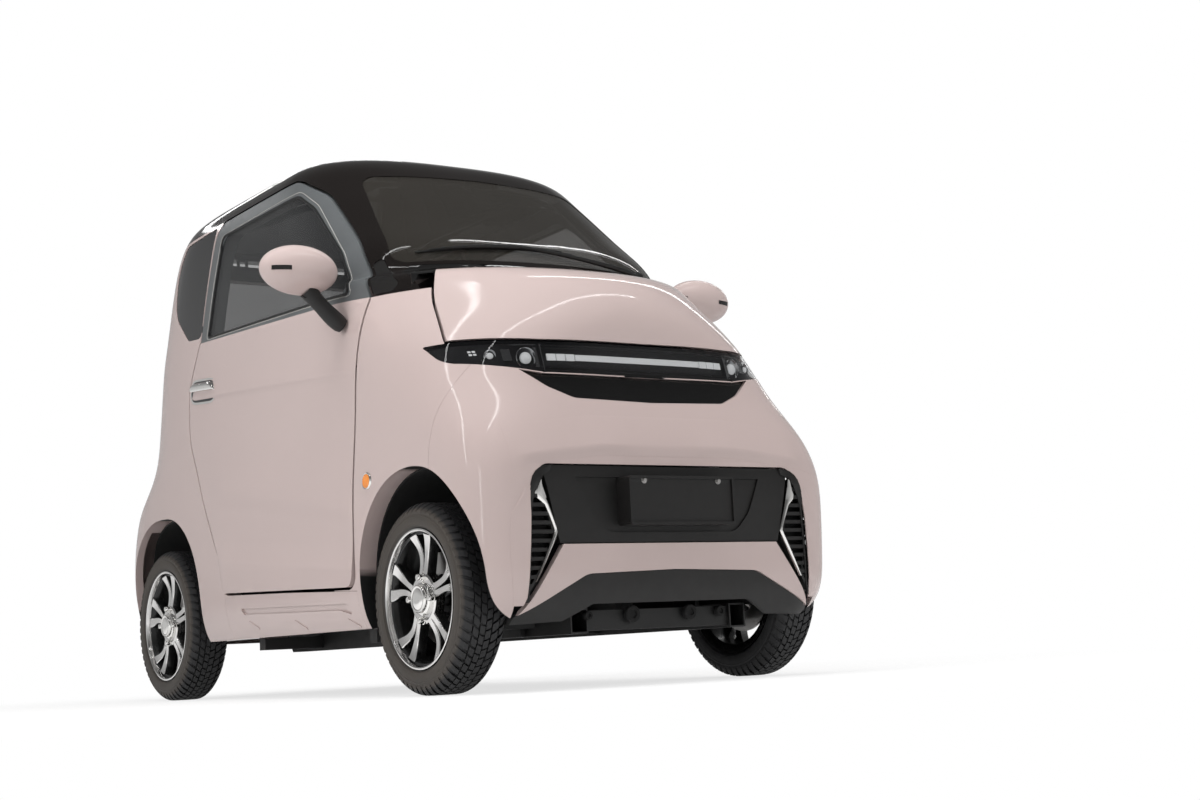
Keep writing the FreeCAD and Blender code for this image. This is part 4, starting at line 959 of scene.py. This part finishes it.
def filler(side, stations):
    # carries the bumper's skin on over the outer part of a vent, in front of its louvres
    rows = fillSizes["rows"]
    stations = [tuple(a + (b - a) * step / 4 for a, b in zip(here, after))
                for here, after in zip(stations, stations[1:]) for step in range(4)] + [stations[-1]]

    def across(column, row):
        start = stations[column][1] + fillSizes["start"]
        return start + (stations[column][2] - start) * row / rows

    depths = numpy.zeros((len(stations), rows + 1))
    for column, station in enumerate(stations):
        z = station[0]
        start = across(column, 0)
        near, far = (fromFront(bumperSkin, side * (start + more), z)[0] for more in (0, fillSizes["probe"]))
        slope = min(max((near.y - far.y) / fillSizes["probe"], -0.9), 0.0) if near and far else 0.0
        base = near.y if near else sheetY(side * start, z)
        for row in range(rows + 1):
            x = across(column, row)
            level = base + slope * (start - x) * (1 - 0.3 * row / rows) - fillSizes["lift"]
            hit = fromFront(frontSkin, side * x, z)[0]
            depths[column, row] = min(level, hit.y - fillSizes["clear"]) if hit and row else level
    for turn in range(fillSizes["softenings"]):
        softer = depths.copy()
        softer[1:-1] = (depths[2:] + 2 * depths[1:-1] + depths[:-2]) / 4
        depths = numpy.minimum(depths, softer)

    def point(column, row, layer):
        y = depths[column, row] + layer * fillSizes["thickness"]
        return side * across(column, row), y, stations[column][0]
    return shell(len(stations) - 1, rows, point)


blades = joined([ribbon(side, bladeEdge, **bladeSizes) for side in (-1, 1)])
frames = joined([ribbon(side, frameEdge, **frameSizes) for side in (-1, 1)])
fillers = joined([filler(side, fillEdge) for side in (-1, 1)])
backing = joined([ribbon(side, ventBack, **backingSizes) for side in (-1, 1)])
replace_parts(meshPiece("chrome_blades", blades, chrome, smooth=50), "corner_blades")
meshPiece("vent_frames", frames, matteTrim, smooth=40)
meshPiece("vent_fillers", fillers, bodyPaint, smooth=40)
meshPiece("vent_backing", backing, linerPlastic)
print("blades made")

# the pressed brow over the matte panel
browSizes = {"rise": 0.0075, "above": 0.075, "below": 0.028, "half": 0.452, "columns": 110, "rows": 26,
             "softenings": 10}


def browPlace(column, row):
    # x, the crease's height there, and z
    below = browSizes["below"]
    x = browSizes["half"] * (2 * column / browSizes["columns"] - 1)
    level = 0.578 - 0.115 * max(abs(x) - 0.2, 0) - 1.2 * max(abs(x) - 0.38, 0) ** 2
    return x, level, level - below + (browSizes["above"] + below) * row / browSizes["rows"]


def browDepths():
    depth = numpy.zeros((browSizes["columns"] + 1, browSizes["rows"] + 1))
    for column, row in numpy.ndindex(depth.shape):
        x, level, z = browPlace(column, row)
        depth[column, row] = skinPoint(bumperSkin, 0, x, z)[0].y
    for turn in range(browSizes["softenings"]):
        depth[1:-1, 1:-1] = (depth[2:, 1:-1] + depth[:-2, 1:-1] + depth[1:-1, 2:] + depth[1:-1, :-2]) / 4
    return depth


browDepth = browDepths()


def browPoint(column, row, layer):
    x, level, z = browPlace(column, row)
    ends = smoothStep(browSizes["half"], browSizes["half"] - 0.07, abs(x))
    ends *= 0.35 + 0.65 * smoothStep(0.06, 0.2, abs(x))
    above = z - level
    rise = smoothStep(-browSizes["below"], 0, above)
    if above > 0:
        rise = max(1 - above / browSizes["above"], 0) ** 2
    atRim = row in (0, browSizes["rows"]) or column in (0, browSizes["columns"])
    lift = (0.0003 if atRim else 0.0007) + browSizes["rise"] * rise * ends
    return x, browDepth[column, row] + (0.001 if layer else -lift), z


brow = shell(browSizes["columns"], browSizes["rows"], browPoint)
meshPiece("bumper_brow", brow, bodyPaint, smooth=40)
print("brow made")

# doors and hatch, with their inner side in trim
innerFacing = -0.35


def doorPart(centre, normal):
    return 1 if normal.x * math.copysign(1, centre.x) < innerFacing else 0


def hatchPart(centre, normal):
    return 1 if normal.y < innerFacing else 0


for side, letter in bothSides:
    finishes = [bodyPaint, cabinTrim]
    recoloured("door_%s_panel" % letter, "door_body_" + letter, "door_" + letter, finishes, doorPart)
recoloured("hatch", "hatch_body", "hatch_lid", [bodyPaint, cabinTrim], hatchPart)
print("doors made")

# mirrors: the arm's places with its radius, and the strip of upright slats
mirrorArm = [((0.5315, -0.474, 0.957), 0.012), ((0.545, -0.474, 0.962), 0.0215),
             ((0.562, -0.473, 0.975), 0.0235), ((0.582, -0.47, 0.994), 0.022), ((0.602, -0.466, 1.016), 0.0205),
             ((0.622, -0.462, 1.038), 0.0215), ((0.64, -0.459, 1.058), 0.024)]
mirrorStrip = {"low": 0.694, "high": 0.742, "lowZ": 1.095, "highZ": 1.1065, "slats": 10, "share": 0.62}


def mirrorPart(centre, normal):
    # paint on the head, silver on the glass
    return 1 if normal.y > 0.95 and centre.z < 1.18 else 0


def slats(skin, side):
    low, high = sorted((side * mirrorStrip["low"], side * mirrorStrip["high"]))
    count = mirrorStrip["slats"]
    pitch = (high - low) / count
    levels = (mirrorStrip["lowZ"], mirrorStrip["highZ"])
    forms = [skinPatch(skin, 0, span(low, high, *levels), 1, count, -0.0006, 0.003)]
    for index in range(count):
        start = low + pitch * index
        end = start + pitch * mirrorStrip["share"]
        forms.append(skinPatch(skin, 0, span(start, end, *levels), 1, 1, -0.0016, 0.004))
    return joined(forms)


for side, letter in bothSides:
    body = "door_" + letter
    node = "door_%s_mirror" % letter
    recoloured(node, "mirror_" + letter, body, [bodyPaint, mirrorGlass], mirrorPart, 1.036)
    spine = rounded([(side * x, y, z) for (x, y, z), radius in mirrorArm], 1)[1:-1]
    widths = rounded([(radius,) for place, radius in mirrorArm], 1)[1:-1]
    arm = tube(spine, [width[0] for width in widths], closed=False, sides=20)
    meshPiece("mirror_arm_" + letter, arm, matteTrim, body, smooth=60)
    meshPiece("mirror_strip_" + letter, slats(skinOf(node), side), glossTrim, body, smooth=20)
print("mirrors made")

# door handles and window seals
handleSizes = {"start": 0.372, "end": 0.568, "level": 0.916, "rise": 0.085, "half": 0.0385}
gripSizes = {"rows": 10, "columns": 28, "base": 0.0035, "lift": 0.011, "thickness": 0.004}
glassEdge = [(-0.4705, 1.048), (-0.3775, 1.18), (-0.1775, 1.352), (-0.0725, 1.412), (0.4475, 1.404),
             (0.4595, 1.086)]
glassEdging = [{"name": "seal", "reach": -0.002, "radius": 0.0045, "lift": 0.0, "finish": sealBlack},
               {"name": "bead", "reach": 0.0125, "radius": 0.0011, "lift": 0.0002, "finish": sealGrey}]


def handleEdges(inner, low=-1.0, high=1.0):
    # a rounded outline inside the handle's recess; low and high are shares of its half height
    def edges(share):
        start = handleSizes["start"] + inner
        end = handleSizes["end"] - inner
        y = start + (end - start) * (0.5 - 0.5 * math.cos(math.pi * share))
        reach = abs(2 * (y - start) / (end - start) - 1)
        half = (handleSizes["half"] - inner) * max(1 - reach ** 7, 0.03) ** 0.5
        centre = handleSizes["level"] + handleSizes["rise"] * (y - handleSizes["start"])
        return y, centre + half * low, centre + half * high
    return edges


def crowned(skin, side, edges, rows, columns, base, lift, thickness):
    # a patch on the skin whose middle stands out
    vertices, faces = skinPatch(skin, side, edges, rows, columns, -base, thickness)
    for index in range((rows + 1) * (columns + 1)):
        x, y, z = vertices[index]
        across = 1 - (2 * (index % (rows + 1)) / rows - 1) ** 2
        along = 1 - (2 * (index // (rows + 1)) / columns - 1) ** 6
        vertices[index] = (x + side * lift * across ** 0.6 * max(along, 0), y, z)
    return vertices, faces


def grown(outline, reach):
    # an outline moved out from its middle
    middleU = sum(p[0] for p in outline) / len(outline)
    middleZ = sum(p[1] for p in outline) / len(outline)
    result = []
    for u, z in outline:
        away = math.hypot(u - middleU, z - middleZ)
        result.append((u + (u - middleU) / away * reach, z + (z - middleZ) / away * reach))
    return result


def glassBar(skin, side, edging):
    # a bar round the door's glass, on its skin
    points = []
    for y, z in rounded(cornered(grown(glassEdge, edging["reach"]), 0.045)):
        points.append((skinPoint(skin, side, y, z)[0].x + side * edging["lift"], y, z))
    return tube(points, edging["radius"])


for side, letter in bothSides:
    body = "door_" + letter
    skin = skinOf("door_%s_panel" % letter)
    bezel = skinPatch(skin, side, handleEdges(0.0), 6, 24, -0.0022, 0.006)
    meshPiece("handle_bezel_" + letter, bezel, chrome, body)
    cup = skinPatch(skin, side, handleEdges(0.0065), 6, 24, -0.0027, 0.006)
    meshPiece("handle_cup_" + letter, cup, lampBlack, body)
    grip = crowned(skin, side, handleEdges(0.0075, 0.02, 0.92), **gripSizes)
    gripPiece = meshPiece("handle_grip_" + letter, grip, chrome, body, smooth=50)
    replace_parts(gripPiece, "door_%s_handle" % letter)
    glassSkin = skinOf("door_%s_frame" % letter, "door_%s_glass" % letter)
    for edging in glassEdging:
        name = "window_%s_%s" % (edging["name"], letter)
        meshPiece(name, glassBar(glassSkin, side, edging), edging["finish"], body)
print("handles and seals made")

# side markers and sill ribs: a rib runs from (y, z) to (y, z)
markerPlace = (-0.6055, 0.54)
markerLens = [(0.000, 0.0185), (0.0045, 0.018), (0.006, 0.0155), (0.0052, 0.014), (0.0066, 0.0125),
              (0.0058, 0.01), (0.007, 0.008), (0.0062, 0.0055), (0.0074, 0.003), (0.0074, 0.0)]
markerRing = [(-0.002, 0.0225), (0.003, 0.0222), (0.0052, 0.0205), (0.0046, 0.0182), (-0.001, 0.018)]
ribList = [((0.168, 0.218), (0.115, 0.197)), ((-0.128, 0.209), (-0.185, 0.185)),
           ((-0.44, 0.199), (-0.492, 0.178))]
ribHalf = 0.0022
fenderSkin = skinOf("front_fenders")
sillSkin = skinOf("sills")


def ribEdges(start, end):
    def edges(share):
        y, z = (a + (b - a) * share for a, b in zip(start, end))
        return y, z - ribHalf, z + ribHalf
    return edges


lenses = []
rings = []
ribs = []
for side in (-1, 1):
    point, normal = skinPoint(fenderSkin, side, *markerPlace)
    lenses.append(turnedAt(point, normal, markerLens, 40))
    rings.append(turnedAt(point, normal, markerRing, 40))
    ribs += [skinPatch(sillSkin, side, ribEdges(start, end), 2, 8, -0.0022, 0.005) for start, end in ribList]
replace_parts(meshPiece("marker_lenses", joined(lenses), amberLens), "side_markers")
meshPiece("marker_rings", joined(rings), chrome)
meshPiece("sill_ribs", joined(ribs), bodyPaint, smooth=25)

# bolts and slots of the front plate place
plateSizes = {"front": -1.1845, "boltX": 0.112, "boltZ": 0.487}
boltHead = [(0.0, 0.0075), (0.0012, 0.0072), (0.0012, 0.0052), (0.0048, 0.005), (0.0055, 0.004),
            (0.0055, 0.0)]
boltWasher = [(0.0, 0.0085), (0.001, 0.0082), (0.001, 0.0)]
slotCorners = [(0.103, 0.4825), (0.15, 0.4825), (0.15, 0.4915), (0.103, 0.4915)]


def plateSlot(side):
    outline = rounded([(side * x, z) for x, z in slotCorners])
    count = len(outline)
    vertices = [(x, plateSizes["front"] + away, z) for away in (-0.0004, 0.001) for x, z in outline]
    faces = [tuple(range(count)), tuple(range(count, 2 * count))]
    faces += [(i, (i + 1) % count, (i + 1) % count + count, i + count) for i in range(count)]
    return vertices, faces


bolts = []
for side in (-1, 1):
    place = (side * plateSizes["boltX"], plateSizes["front"], plateSizes["boltZ"])
    bolts += [turnedAt(place, (0, -1, 0), boltHead, 6), turnedAt(place, (0, -1, 0), boltWasher, 28)]
meshPiece("plate_bolts", joined(bolts), steel, smooth=30)
meshPiece("plate_slots", joined([plateSlot(side) for side in (-1, 1)]), sealBlack, smooth=20)
print("small trim made")

# cowl ends, which close the corner behind the bonnet: places (x, y) along them
cowlLine = [(0.35, -0.658), (0.365, -0.66), (0.385, -0.6635), (0.41, -0.6675), (0.43, -0.671),
            (0.4445, -0.674)]
cowlSizes = {"foot": 1.012, "height": 0.0575, "bulge": 0.004, "thickness": 0.0025, "rows": 4}


def cowlEnd(side):
    def point(column, row, layer):
        x, y = cowlLine[column]
        share = row / cowlSizes["rows"]
        y += layer * cowlSizes["thickness"] - cowlSizes["bulge"] * math.sin(math.pi * share)
        return side * x, y, cowlSizes["foot"] + cowlSizes["height"] * share
    return shell(len(cowlLine) - 1, cowlSizes["rows"], point)


meshPiece("cowl_ends", joined([cowlEnd(side) for side in (-1, 1)]), glossTrim, smooth=40)

# wiper: blade with its holder, arm and pivot; places are (x, z)
wiperLines = {
    "blade": [(-0.372, 1.1515), (-0.29, 1.16), (-0.196, 1.169), (-0.1, 1.174), (0.000, 1.174),
              (0.1, 1.169)],
    "arm": [(0.3, 1.118), (0.23, 1.133), (0.157, 1.144), (0.06, 1.16), (-0.04, 1.1735),
            (-0.12, 1.1785)],
}
wiperPivot = [(-0.012, 0.015), (0.01, 0.015), (0.014, 0.012), (0.0165, 0.007), (0.017, 0.0)]
screenSkin = skinOf("windscreen")


def wiperPath(points, lift):
    path = []
    for here, after in zip(points, points[1:]):
        for step in range(8):
            x, z = (a + (b - a) * step / 8 for a, b in zip(here, after))
            path.append((x, skinPoint(screenSkin, 0, x, z)[0].y - lift, z))
    for turn in range(6):
        threes = zip(path, path[1:], path[2:])
        inner = [tuple((a + 2 * b + c) / 4 for a, b, c in zip(*three)) for three in threes]
        path = [path[0]] + inner + [path[-1]]
    return path


def swelling(path, thin, rise):
    return [thin + rise * math.sin(math.pi * i / len(path)) for i in range(len(path))]


bladePath = wiperPath(wiperLines["blade"], 0.005)
armPath = wiperPath(wiperLines["arm"], 0.016)
holder = [(x, y - 0.006, z + 0.002) for x, y, z in bladePath[3:-3]]
armRadii = [0.0085 - 0.0045 * i / len(armPath) for i in range(len(armPath))]
pivotPlace = Vector(armPath[0]) + Vector((0, 0.004, 0))
wiperForm = joined([
    tube(bladePath, swelling(bladePath, 0.003, 0.002), closed=False),
    tube(holder, swelling(holder, 0.0025, 0.004), closed=False),
    tube(armPath, armRadii, closed=False, sides=10),
    turnedAt(pivotPlace, (0, -0.75, 0.66), wiperPivot, 28),
])
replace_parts(meshPiece("wiper_set", wiperForm, sealBlack, smooth=50), "wiper")
print("wiper made")

# rear: plate place, valance, handle and lamps, guessed from the type
rearPlates = [
    {"name": "rear_plate_panel", "half": 0.262, "low": 0.36, "high": 0.52, "corner": 0.03, "lift": 0.0005,
     "rows": 10, "columns": 40, "finish": matteTrim},
    {"name": "rear_plate_blank", "half": 0.15, "low": 0.392, "high": 0.49, "corner": 0.006, "lift": 0.0012,
     "rows": 8, "columns": 30, "finish": lampBlack},
    {"name": "rear_valance", "half": 0.36, "low": 0.212, "high": 0.285, "corner": 0.03, "lift": 0.0008,
     "rows": 8, "columns": 50, "finish": matteTrim},
]
valanceRibs = {"count": 4, "low": 0.223, "pitch": 0.015, "height": 0.006, "half": 0.33}
lampBars = {"count": 5, "first": 0.08, "pitch": 0.175, "height": 0.105, "inset": 0.22}
rearSkin = skinOf("rear_bumper", "hatch", "rear_quarters", "tail_lamps")


def rearY(x, z):
    hit = rearSkin.ray_cast(Vector((x, rayStart, z)), Vector((0, -1, 0)))[0]
    return hit.y if hit else rearY(x * 0.98, z)


def rearPatch(outline, lift, thickness, rows, columns):
    # a sheet on the rear: outline gives x with its low and high z at a share
    def point(column, row, layer):
        x, low, high = outline(column / columns)
        z = low + (high - low) * row / rows
        return x, rearY(x, z) + (lift - layer * thickness), z
    return shell(columns, rows, point)


def plateShape(lowX, highX, lowZ, highZ, corner):
    # a rectangle with rounded corners
    def outline(share):
        x = lowX + (highX - lowX) * share
        near = max(corner - (x - lowX), corner - (highX - x), 0) / corner
        inset = corner * (1 - (1 - min(near, 1) ** 2) ** 0.5)
        return x, lowZ + inset, highZ - inset
    return outline


def tailBars(side):
    # five raised bars on a lamp
    places = [v.co for v in nodes["tail_lamps"].data.vertices if v.co.x * side > 0]
    low, high = min(v.z for v in places), max(v.z for v in places)
    inner, outer = min(abs(v.x) for v in places), max(abs(v.x) for v in places)
    inset = lampBars["inset"] * (outer - inner)
    ends = sorted((side * (inner + inset), side * (outer - inset)))
    forms = []
    for index in range(lampBars["count"]):
        start = low + (high - low) * (lampBars["first"] + lampBars["pitch"] * index)
        shape = plateShape(*ends, start, start + (high - low) * lampBars["height"], 0.004)
        forms.append(rearPatch(shape, 0.0022, 0.004, 3, 8))
    return forms


for plate in rearPlates:
    shape = plateShape(-plate["half"], plate["half"], plate["low"], plate["high"], plate["corner"])
    form = rearPatch(shape, plate["lift"], 0.005, plate["rows"], plate["columns"])
    meshPiece(plate["name"], form, plate["finish"], smooth=40)
hatchGrip = rearPatch(plateShape(-0.085, 0.085, 0.742, 0.768, 0.012), 0.0075, 0.012, 6, 24)
meshPiece("hatch_grip", hatchGrip, glossTrim, "hatch_lid", smooth=50)
ribs = []
for index in range(valanceRibs["count"]):
    z = valanceRibs["low"] + valanceRibs["pitch"] * index
    shape = plateShape(-valanceRibs["half"], valanceRibs["half"], z, z + valanceRibs["height"], 0.003)
    ribs.append(rearPatch(shape, 0.0032, 0.005, 2, 40))
meshPiece("valance_ribs", joined(ribs), matteTrim, smooth=30)
meshPiece("tail_lamp_bars", joined(tailBars(-1) + tailBars(1)), tailGlow, smooth=40)
print("rear made")

# round plugs on the frame under the front
plugList = [{"x": -0.085, "radius": 0.019}, {"x": 0.09, "radius": 0.017}, {"x": 0.185, "radius": 0.012},
            {"x": -0.215, "radius": 0.01}]


def framePlug(plug):
    radius = plug["radius"]
    profile = [(-0.004, radius * 1.15), (0.004, radius * 1.12), (0.006, radius), (0.006, radius * 0.55),
               (0.002, radius * 0.5), (0.002, 0.0)]
    return turnedAt((plug["x"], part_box("chassis_frame")[0][1] - 0.001, 0.172), (0, -1, 0), profile, 32)


plugs = joined([framePlug(plug) for plug in plugList])
meshPiece("frame_plugs", plugs, linerPlastic, smooth=40)

# seats: a channel is (its line, from, to, the axis that it lies on)
padSizes = {"share": 0.965, "voxel": 0.01, "pressure": 4, "frames": 20, "reach": 0.012, "sink": 0.009,
            "channel": 0.007}
seatLook = {"dark": (0.028, 0.028, 0.03, 1), "light": (0.075, 0.074, 0.074, 1), "weave": 3400.0}


def seatCloth():
    cloth = Finish("seatCloth", Sheen_Weight=0.4)
    across, along, up = (cloth.axis(index) * seatLook["weave"] for index in range(3))
    weave = (across.math("SINE") * (along + up).math("SINE")) * 0.5 + 0.5
    pattern = weave * 0.6 + cloth.noise(14.0, 3.0) * 0.4
    cloth.put("Base Color", cloth.blend(pattern, seatLook["dark"], seatLook["light"]))
    cloth.put("Roughness", weave * 0.1 + 0.78)
    cloth.bump(weave, 0.0003)
    return cloth.material


def bake(item):
    item.data = evaluated(item)
    item.modifiers.clear()


def rightBlock(node):
    # the right-hand half of a CAD cushion, a little smaller
    mesh = nodes[node].data.copy()
    builder = bmesh.new()
    builder.from_mesh(mesh)
    bmesh.ops.delete(builder, geom=[v for v in builder.verts if v.co.x > 0], context="VERTS")
    bmesh.ops.remove_doubles(builder, verts=builder.verts, dist=0.00002)
    centre = sum((v.co for v in builder.verts), Vector()) / len(builder.verts)
    for vertex in builder.verts:
        vertex.co = centre + (vertex.co - centre) * padSizes["share"]
    builder.to_mesh(mesh)
    builder.free()
    mesh.materials.clear()
    mesh.materials.append(clothFinish)
    return mesh


def swell(pad):
    # cloth under pressure
    cloth = pad.modifiers.new("cloth", "CLOTH")
    cloth.settings.use_pressure = True
    cloth.settings.uniform_pressure_force = padSizes["pressure"]
    cloth.settings.effector_weights.gravity = 0
    for number in range(1, padSizes["frames"] + 1):
        bpy.context.scene.frame_set(number)
    bake(pad)
    bpy.context.scene.frame_set(1)


def channelSink(place, channels, lengthAxis):
    sink = 0.0
    for line, low, high, axis in channels:
        along = place[0] if axis != 0 else place[lengthAxis]
        if low < along < high:
            sink += padSizes["sink"] * math.exp(-((place[axis] - line) / padSizes["channel"]) ** 2)
    return sink


def padFrom(node, name, channels, lengthAxis):
    # a swollen pad with its sewn channels; the left one is its mirror image
    pad = linked(name, rightBlock(node))
    remesh = pad.modifiers.new("remesh", "REMESH")
    remesh.mode = "VOXEL"
    remesh.voxel_size = padSizes["voxel"]
    bake(pad)
    before = [v.co.copy() for v in pad.data.vertices]
    swell(pad)
    middle = sum(before, Vector()) / len(before)
    for vertex, start in zip(pad.data.vertices, before):
        moved = vertex.co - start
        if moved.length > padSizes["reach"]:
            moved = moved.normalized() * padSizes["reach"]
        place = start + moved
        vertex.co = place - (place - middle).normalized() * channelSink(place, channels, lengthAxis)
    smoothing = pad.modifiers.new("finish", "SUBSURF")
    smoothing.levels = smoothing.render_levels = 1
    bake(pad)
    twin = pad.data.copy()
    twin.transform(Matrix.Diagonal((-1, 1, 1, 1)))
    twin.flip_normals()
    for item in (pad, linked(name + "_left", twin)):
        for face in item.data.polygons:
            face.use_smooth = True
        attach(item, "car_body")
        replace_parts(item, node)


clothFinish = seatCloth()
cushionChannels = [(-0.335, 0.03, 0.43, 0), (-0.129, 0.03, 0.43, 0), (0.16, -0.335, -0.129, 1),
                   (0.29, -0.335, -0.129, 1)]
backChannels = [(-0.33, 0.46, 0.92, 0), (-0.134, 0.46, 0.92, 0), (0.6, -0.33, -0.134, 2),
                (0.74, -0.33, -0.134, 2)]
padFrom("seat_cushions", "seat_pad", cushionChannels, 1)
padFrom("seat_backs", "back_pad", backChannels, 2)
print("seats made")

# camera
view = {"yaw": math.radians(34.666), "pitch": math.radians(7.708), "roll": math.radians(-2.902),
        "place": (-2.711844, -4.775525, 0.085866), "lens": 55.627, "sensor": 36}
level = math.cos(view["pitch"])
ahead = Vector((math.sin(view["yaw"]) * level, math.cos(view["yaw"]) * level, math.sin(view["pitch"])))
right = ahead.cross(Vector((0, 0, 1))).normalized()
upward = right.cross(ahead)
tilted = right * math.cos(view["roll"]) + upward * math.sin(view["roll"])
upward = upward * math.cos(view["roll"]) - right * math.sin(view["roll"])
camera = linked("camera", bpy.data.cameras.new("camera"))
camera.data.sensor_width = view["sensor"]
camera.data.lens = view["lens"]
turn = Matrix((tilted, upward, -ahead)).transposed().to_4x4()
camera.matrix_world = Matrix.Translation(view["place"]) @ turn
bpy.context.scene.camera = camera

# lights; the ceiling tubes are what the gloss shows
lightList = [
    {"name": "top", "place": (-0.6, -0.8, 3.4), "aim": (0, -0.1, 0.6), "size": (3.2, 2.2), "power": 92},
    {"name": "left", "place": (-3.6, -1.2, 2.0), "aim": (0, 0, 0.7), "size": (1.6, 2.2), "power": 62},
    {"name": "front", "place": (1.2, -4.2, 1.9), "aim": (0, -0.6, 0.6), "size": (2.4, 1.4), "power": 46},
    {"name": "back", "place": (1.5, 3.8, 2.4), "aim": (0, 0.6, 0.8), "size": (2.4, 1.6), "power": 44},
    {"name": "right", "place": (3.6, -0.4, 2.2), "aim": (0, 0, 0.7), "size": (2.0, 1.6), "power": 34},
]
tubeList = [
    {"name": "tube_1", "place": (-1.9, -0.4, 2.6), "aim": (-0.4, -0.3, 0.6), "size": (0.05, 3.4),
     "power": 4.5},
    {"name": "tube_2", "place": (0.1, -1.4, 3.0), "aim": (0, -0.8, 0.6), "size": (3.0, 0.05), "power": 4.0},
    {"name": "tube_3", "place": (-3.4, -1.9, 1.1), "aim": (0, -0.6, 0.6), "size": (0.05, 1.6), "power": 2.5},
    {"name": "tube_5", "place": (0.4, 4.6, 3.4), "aim": (0, 0, 0.8), "size": (4.0, 0.07), "power": 7.0},
    {"name": "tube_4", "place": (1.8, 0.4, 2.7), "aim": (0.3, 0, 0.7), "size": (0.05, 3.2), "power": 4.5},
]
for item in lightList + tubeList:
    light = linked(item["name"], bpy.data.lights.new(item["name"], "AREA"))
    light.data.shape = "RECTANGLE"
    light.data.size, light.data.size_y = item["size"]
    light.data.energy = item["power"]
    light.location = item["place"]
    light.rotation_euler = (Vector(item["aim"]) - Vector(item["place"])).to_track_quat("-Z", "Y").to_euler()
    light.visible_glossy = item in tubeList


# world: white to the camera, a soft dome to gloss, and dim to everything else
studioLook = {"dome": 0.55, "domeDrop": 0.78, "fill": 0.25, "floorHalf": 40, "floor": 0.86, "fadeFrom": 1.3,
              "near": 0.72, "glossShare": 0.4}


def rays(tree, kind):
    return tree.wire("ShaderNodeLightPath", "Is %s Ray" % kind)


def studioWorld():
    world = bpy.data.worlds.new("studio")
    world.use_nodes = True
    sky = Nodes(world.node_tree)
    seen = (rays(sky, "Camera") + rays(sky, "Transmission")).clamped()
    glossy = rays(sky, "Glossy")
    height = sky.wire("ShaderNodeSeparateXYZ", "Z", {0: sky.add("ShaderNodeTexCoord").outputs["Generated"]})
    dome = (1.0 - ((height - 0.1) * 2.2).clamped() * studioLook["domeDrop"]) * studioLook["dome"]
    strength = seen + (1.0 - seen) * (glossy * dome + (1.0 - glossy) * studioLook["fill"])
    background = sky.add("ShaderNodeBackground", None, {"Color": (1, 1, 1, 1), "Strength": strength})
    sky.add("ShaderNodeOutputWorld", None, {0: background.outputs[0]})
    return world


def floorFinish():
    # white to the camera, a little less so near the car, where its shadow shows
    grey = studioLook["floor"]
    finish = bpy.data.materials.new("floorPaint")
    finish.use_nodes = True
    paint = Nodes(finish.node_tree)
    place = paint.add("ShaderNodeTexCoord").outputs["Object"]
    x, y = (paint.wire("ShaderNodeSeparateXYZ", index, {0: place}) for index in (0, 1))
    reach = (x * x + y * y).math("SQRT")
    fade = ((reach - studioLook["fadeFrom"]) * 0.7).clamped() * (1 - studioLook["near"]) + studioLook["near"]
    seen = rays(paint, "Camera") + rays(paint, "Glossy") * studioLook["glossShare"]
    seen = (seen + rays(paint, "Transmission")).clamped() * fade
    matte = paint.add("ShaderNodeBsdfDiffuse", None, {"Color": (grey, grey, grey, 1)})
    white = paint.add("ShaderNodeEmission", None, {"Strength": 1.0})
    mixed = paint.add("ShaderNodeMixShader", None, {0: seen, 1: matte.outputs[0], 2: white.outputs[0]})
    paint.add("ShaderNodeOutputMaterial", None, {0: mixed.outputs[0]})
    return finish


bpy.context.scene.world = studioWorld()
floorHalf = studioLook["floorHalf"]
floorCorners = [(x * floorHalf, y * floorHalf, 0) for x, y in ((-1, -1), (1, -1), (1, 1), (-1, 1))]
floorMesh = bpy.data.meshes.new("floor")
floorMesh.from_pydata(floorCorners, [], [(0, 1, 2, 3)])
floorMesh.materials.append(floorFinish())
floor = linked("floor", floorMesh)
bpy.context.scene.view_settings.view_transform = "Standard"
print("camera and studio ready")
